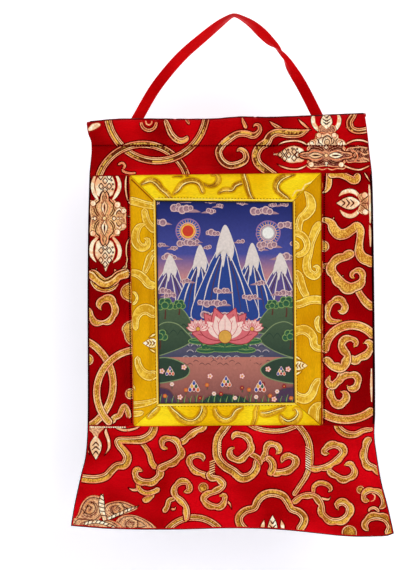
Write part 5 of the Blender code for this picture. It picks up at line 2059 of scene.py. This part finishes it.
def build_heading(trims):
    """Red heading with its rod sleeve, from the seam over the top and down the back."""
    low = SLEEVE_HALF - SLEEVE_HALF * math.pi / 2 - SLEEVE_FLAP
    columns = lap_columns(
        left_edge(HEADING_FOOT), right_edge(HEADING_FOOT), FRAME_CUT[0][0], FRAME_CUT[1][0],
    )
    lap_rows = [(SEAM_TUCK, SEAM_TUCK + LAP_CLEAR + LAP_RUN + LAP_SPARE)]
    to_seam = upper_seam(0) - STITCH_DROP
    front = [share / 2 for share in rim_spread(to_seam, RED_PITCH, lap_rows)[:-1]]
    front += spread(0.5, 1, 12)
    places = []
    for row in front:
        line = []
        for share in columns:
            x = blend(left_edge(STITCH_DROP), right_edge(STITCH_DROP), share)
            seam = upper_seam(x)
            top = top_edge(x)
            if row <= 0.5:
                drop = blend(seam, STITCH_DROP, row * 2)
            else:
                drop = blend(STITCH_DROP, top + SLEEVE_HALF, row * 2 - 1)
            line.append((blend(left_edge(drop), right_edge(drop), share), drop))
        places.append(line)
    round_top = [SLEEVE_HALF * (1 - math.cos(math.radians(angle))) for angle in (75, 60, 45, 30, 15)]
    round_top += [-SLEEVE_HALF * math.radians(angle) for angle in (0, 15, 30, 45, 60, 75, 90)]
    for below in round_top:
        line = []
        for share in columns:
            x = blend(left_edge(HEADING_TOP), right_edge(HEADING_TOP), share)
            line.append((x, top_edge(x) + below))
        places.append(line)
    for down in spread(0.12, 1, 10) + [1.12]:
        line = []
        for share in columns:
            x = blend(left_edge(STITCH_DROP), right_edge(STITCH_DROP), share)
            top = top_edge(x)
            to_stitch = STITCH_DROP - top
            reach = to_stitch - SLEEVE_HALF
            if down <= 1:
                below = -SLEEVE_HALF * math.pi / 2 - reach * down
            else:
                below = low - to_stitch
            real_drop = top + SLEEVE_HALF + reach * min(down, 1)
            x = blend(left_edge(real_drop), right_edge(real_drop), share)
            line.append((x, top_edge(x) + below))
        places.append(line)
    piece = add_sheet("top_cloth", places, heading_point, [HEADING_RED])
    declare(piece, "top_panel", trims=trims)


def build_side_panel(name, node, edge, corners, trims):
    """Red strip between an outer edge of the cloth and one side of the yellow frame."""
    (x_top, d_top), (x_foot, d_foot) = corners
    wide = abs(blend(x_top, x_foot, 0.5) - edge(STRIP_MIDDLE))
    shares = rim_spread(wide, RED_PITCH, [
        (wide - SEAM_TUCK - LAP_CLEAR - LAP_RUN - LAP_SPARE, wide - SEAM_TUCK),
    ])
    places = []
    for share in rim_spread(STRIP_LONG):
        row = []
        outer = edge(blend(d_top, d_foot, share))
        inner = blend(x_top, x_foot, share)
        for part in shares:
            x = blend(outer, inner, part)
            row.append((x, blend(upper_seam(x) + GAP, lower_seam(x) - GAP, share)))
        places.append(row)
    piece = add_sheet(name, places, red_point, [SIDE_RED])
    declare(piece, node, trims=trims)


def build_skirt(trims):
    rows = rim_spread(SKIRT_LONG, PITCH, [(SEAM_TUCK, SEAM_TUCK + LAP_CLEAR + LAP_RUN + LAP_SPARE)])
    columns = lap_columns(
        left_edge(SKIRT_HEAD), right_edge(SKIRT_HEAD), FRAME_CUT[3][0], FRAME_CUT[2][0],
    )
    places = []
    for down in rows:
        row = []
        for share in columns:
            x_seam = blend(left_edge(lower_seam(0)), right_edge(lower_seam(0)), share)
            x_hem = blend(BOTTOM_EDGE[0][0], BOTTOM_EDGE[-1][0], share)
            drop = blend(lower_seam(x_seam), bottom_edge(x_hem), down)
            row.append((blend(left_edge(drop), right_edge(drop), share), drop))
        places.append(row)
    piece = add_sheet("skirt_cloth", places, red_point, [RED])
    declare(piece, "bottom_panel", trims=trims)


def lining_point(x, drop, height):
    return world(x, drop, THICK + height)


def build_lining():
    start = STITCH_DROP + SLEEVE_FLAP + GAP + THICK / 2
    places = []
    for down in rim_spread(LINING_SIZE[1], LINING_PITCH):
        row = []
        for share in rim_spread(LINING_SIZE[0], LINING_PITCH):
            x_hem = blend(BOTTOM_EDGE[0][0], BOTTOM_EDGE[-1][0], share)
            drop = blend(start, bottom_edge(x_hem) + LINING_SHOWS, down)
            shows = LINING_SHOWS * clamp((drop - start) / LINING_FADE)
            row.append((blend(left_edge(drop) - shows, right_edge(drop) + shows, share), drop))
        places.append(row)
    piece = add_sheet("lining_cloth", places, lining_point, [LINING])
    declare(piece, "lining")


def build_border(name, node, first, second, surface, trims):
    """Yellow strip between two corners of the frame, its ends cut on the mitres."""
    outer = (Vector(FRAME_CUT[first]), Vector(FRAME_CUT[second]))
    inner = (Vector(WINDOW[first]), Vector(WINDOW[second]))
    wide = distance_outside(WINDOW, *outer[0].lerp(outer[1], 0.5))
    run = (outer[1] - outer[0]).normalized() * GAP * 0.7
    shares = rim_spread((outer[1] - outer[0]).length, BORDER_PITCH_ALONG)
    places = []
    lap = [(SEAM_TUCK, SEAM_TUCK + LAP_CLEAR + LAP_RUN)]
    for across in rim_spread(wide, BORDER_PITCH_ACROSS, lap):
        start = inner[0].lerp(outer[0], across) + run
        end = inner[1].lerp(outer[1], across) - run
        places.append([tuple(start.lerp(end, share)) for share in shares])
    piece = add_sheet(name, places, yellow_point, [surface])
    declare(piece, node, trims=trims)


def picture_place(along, down):
    """Place on the picture cloth at shares of its width and height."""
    top = [blend(a, b, along) for a, b in zip(PICTURE_CUT[0], PICTURE_CUT[1])]
    foot = [blend(a, b, along) for a, b in zip(PICTURE_CUT[3], PICTURE_CUT[2])]
    return blend(top[0], foot[0], down), blend(top[1], foot[1], down)


def build_picture(surfaces, trims):
    columns, rows = [rim_spread(length, PICTURE_PITCH) for length in PICTURE_SIZE]
    places = [[picture_place(along, down) for along in columns] for down in rows]
    piece = add_sheet("picture_cloth", places, picture_point, surfaces)
    declare(piece, "picture", trims=trims)


# Ribbon's centre line from its left end over the crease to its right end: x, drop, depth
# behind the hook, turn in degrees and cup of its section
RIBBON_ROUTE = (
    (-106, 116, 4.6, 0, 0), (-94.5, 95, 4.6, 0, 0), (-80.5, 71, 4.0, 0, 0), (-66.5, 52.5, 3.2, 4, 0),
    (-50.5, 35, 2.4, 12, 0.2), (-29.5, 17, 1.6, 22, 0.5), (-15, 5.5, 0.8, 38, 0.9),
    (-5, -1, 0.2, 56, 1.5), (0, -2.9, 0, 62, 1.8), (6, -1.2, 0, 57, 1.5), (18, 5.5, 0.6, 36, 0.8),
    (28, 14, 1.4, 16, 0.4), (36.5, 22.5, 2.2, 30, 1.4), (43.5, 29, 2.6, 62, 2.8),
    (49, 36, 3.0, 100, 3.2), (56, 47, 3.4, 142, 1.6), (67.5, 65, 3.9, 170, 0.4), (83, 95, 4.6, 180, 0),
    (92.5, 115, 4.6, 180, 0),
)
RIBBON_WIDE = 11.0
RIBBON_THICK = 1.0


def behind_sleeve(x, drop, depth):
    """Depth of the ribbon's centre, kept clear of the back of the sleeve."""
    top = top_edge(x)
    below = max(drop - top, SLEEVE_HALF)
    half = sleeve_half_depth(below, STITCH_DROP - top)
    seat = half + THICK / 2 - SLEEVE_MID + GAP + RIBBON_THICK / 2
    start = 12
    return blend(depth, seat, clamp((drop - top + start) / start))


def build_ribbon():
    """Ribbon loop: a flat strip that turns edge on at its crease and half turns on the right."""
    lengths = [0]
    for first, last in zip(RIBBON_ROUTE, RIBBON_ROUTE[1:]):
        lengths.append(lengths[-1] + math.hypot(last[0] - first[0], last[1] - first[1]))
    curves = [
        curve_through([(s, row[key]) for s, row in zip(lengths, RIBBON_ROUTE)])
        for key in range(len(RIBBON_ROUTE[0]))
    ]
    sides = (-1, -0.86, -0.72, -0.36, 0, 0.36, 0.72, 0.86, 1)
    back = []
    front = []
    nearby = 0.5
    for stop in spread(0, lengths[-1], 260):
        x, drop, depth, turn, cup = [curve(stop) for curve in curves]
        ahead = min(stop + nearby, lengths[-1])
        behind = max(stop - nearby, 0)
        run = Vector((curves[0](ahead) - curves[0](behind), curves[1](ahead) - curves[1](behind)))
        run.normalize()
        angle = math.radians(turn)
        wide = Vector((run.y * math.cos(angle), math.sin(angle), run.x * math.cos(angle)))
        along = Vector((run.x, 0, -run.y))
        thick = wide.cross(along).normalized()
        half_wide = math.sqrt((RIBBON_WIDE / 2) ** 2 - cup ** 2)
        rows = ([], [])
        for side in sides:
            across = wide * side * half_wide + thick * (0.5 - abs(side)) * cup
            centre = Vector((x, 0, -drop)) + across
            centre.y += behind_sleeve(x + across.x, drop - across.z, depth)
            rim = abs(side)
            half = RIBBON_THICK / 2 * (0.7 if rim == 1 else 1.0 if rim > 0.8 else 0.92)
            rows[0].append((centre - thick * half) * MM)
            rows[1].append((centre + thick * half) * MM)
        back.append(rows[0])
        front.append(rows[1])
    piece = add_body("ribbon_loop", back, front, [RIBBON])
    declare(piece, "ribbon")


# Places in metres of the studio's wall and floor and of the camera, and height of its view
WALL_Y = 0.075
FLOOR_Z = -0.80
CAMERA_X = -0.034
CAMERA_Z = -0.266
CAMERA_AWAY = 1.6
FRAME_HIGH = 0.570


def build_studio():
    """White wall that runs down into a pale floor, and glows: painted light, stronger higher up."""
    shape = bmesh.new()
    bend = 0.25
    line = [(WALL_Y, 2.2), (WALL_Y, FLOOR_Z + bend)]
    for angle in spread(0, 90, 10)[1:]:
        a = math.radians(angle)
        line.append((WALL_Y - bend * (1 - math.cos(a)), FLOOR_Z + bend * (1 - math.sin(a))))
    line.append((-3.0, FLOOR_Z))
    rows = [[shape.verts.new((x, y, z)) for x in (-2.5, 2.5)] for y, z in line]
    for first, second in zip(rows, rows[1:]):
        shape.faces.new((first[0], first[1], second[1], second[0]))
    graph = Graph("studio_white_glowing", 0.9)
    graph.put(graph.shader.inputs["Base Color"], colour(244, 243, 247))
    # The wall glows as painted light, stronger higher up, so that it stays white with a faint shadow low
    # down.
    graph.put(graph.shader.inputs["Emission Color"], (0.97, 0.96, 1.0, 1))
    height = graph.add("ShaderNodeSeparateXYZ", 2, Vector=graph.place)
    graph.put(graph.shader.inputs["Emission Strength"], graph.span(height, -0.53, -0.4, 0.35, 0.46))
    sweep = add_object("studio_sweep", shape, [graph.material])


def add_area_light(name, place, aim, size, power, tint=(1, 1, 1)):
    light = bpy.data.lights.new(name, "AREA")
    light.shape = "RECTANGLE"
    light.size, light.size_y = size
    light.energy = power
    light.color = tint
    made = bpy.data.objects.new(name, light)
    made.location = place
    made.rotation_euler = (Vector(aim) - Vector(place)).to_track_quat("-Z", "Y").to_euler()
    bpy.context.collection.objects.link(made)


def build_lights():
    middle = (-0.02, 0, -0.3)
    add_area_light("key_light", (1.3, -1.5, 1.1), middle, (1.3, 1.3), 27, (1.0, 0.99, 0.97))
    add_area_light("fill_light", (-1.8, -1.8, 0.1), middle, (1.8, 1.8), 10.5, (0.97, 0.98, 1.0))
    add_area_light("top_light", (0.0, -0.6, 1.6), middle, (1.6, 0.8), 6)
    world_light = bpy.data.worlds.new("studio_air")
    world_light.use_nodes = True
    background = world_light.node_tree.nodes["Background"]
    background.inputs["Color"].default_value = (1, 1, 1, 1)
    background.inputs["Strength"].default_value = 0.22
    bpy.context.scene.world = world_light


def build_camera():
    lens = bpy.data.cameras.new("camera")
    lens.sensor_fit = "VERTICAL"
    lens.sensor_height = 36
    lens.lens = lens.sensor_height * CAMERA_AWAY / FRAME_HIGH
    lens.clip_start = 0.05
    camera = bpy.data.objects.new("camera", lens)
    camera.location = (CAMERA_X, -CAMERA_AWAY, CAMERA_Z)
    camera.rotation_euler = (math.radians(90), 0, 0)
    bpy.context.collection.objects.link(camera)
    bpy.context.scene.camera = camera
    bpy.context.scene.view_settings.view_transform = "Standard"


yellow_top, yellow_bottom, yellow_left, yellow_right = draw_strips()
build_heading([draw_heading()])
build_side_panel(
    "left_side_cloth", "side_panel_left", left_edge, (FRAME[0], FRAME[3]),
    [draw_left()],
)
build_side_panel(
    "right_side_cloth", "side_panel_right", right_edge, (FRAME[1], FRAME[2]),
    [draw_right()],
)
build_skirt([draw_skirt()])
build_lining()
for name, node, first, second, surface, slot, flat, area, trim in (
    ("yellow_top", "border_top", 0, 1, YELLOW, "yellow_light", (0.2, 0.03), 0.0052, yellow_top),
    (
        "yellow_right", "border_right", 1, 2, SIDE_YELLOW, "yellow_deep", (0.26, 0.032), 0.0072,
        yellow_right,
    ),
    (
        "yellow_bottom", "border_bottom", 2, 3, YELLOW, "yellow_light", (0.2, 0.028), 0.0046,
        yellow_bottom,
    ),
    (
        "yellow_left", "border_left", 3, 0, SIDE_YELLOW, "yellow_deep", (0.26, 0.031), 0.0068,
        yellow_left,
    ),
):
    build_border(name, node, first, second, surface, [trim])
PICTURE_BLUE = plain_weave("picture_ground", colour(40, 70, 150), colour(28, 56, 130), 2000)
build_picture([PICTURE_BLUE], [draw_picture()])
build_ribbon()
build_studio()
build_lights()
build_camera()
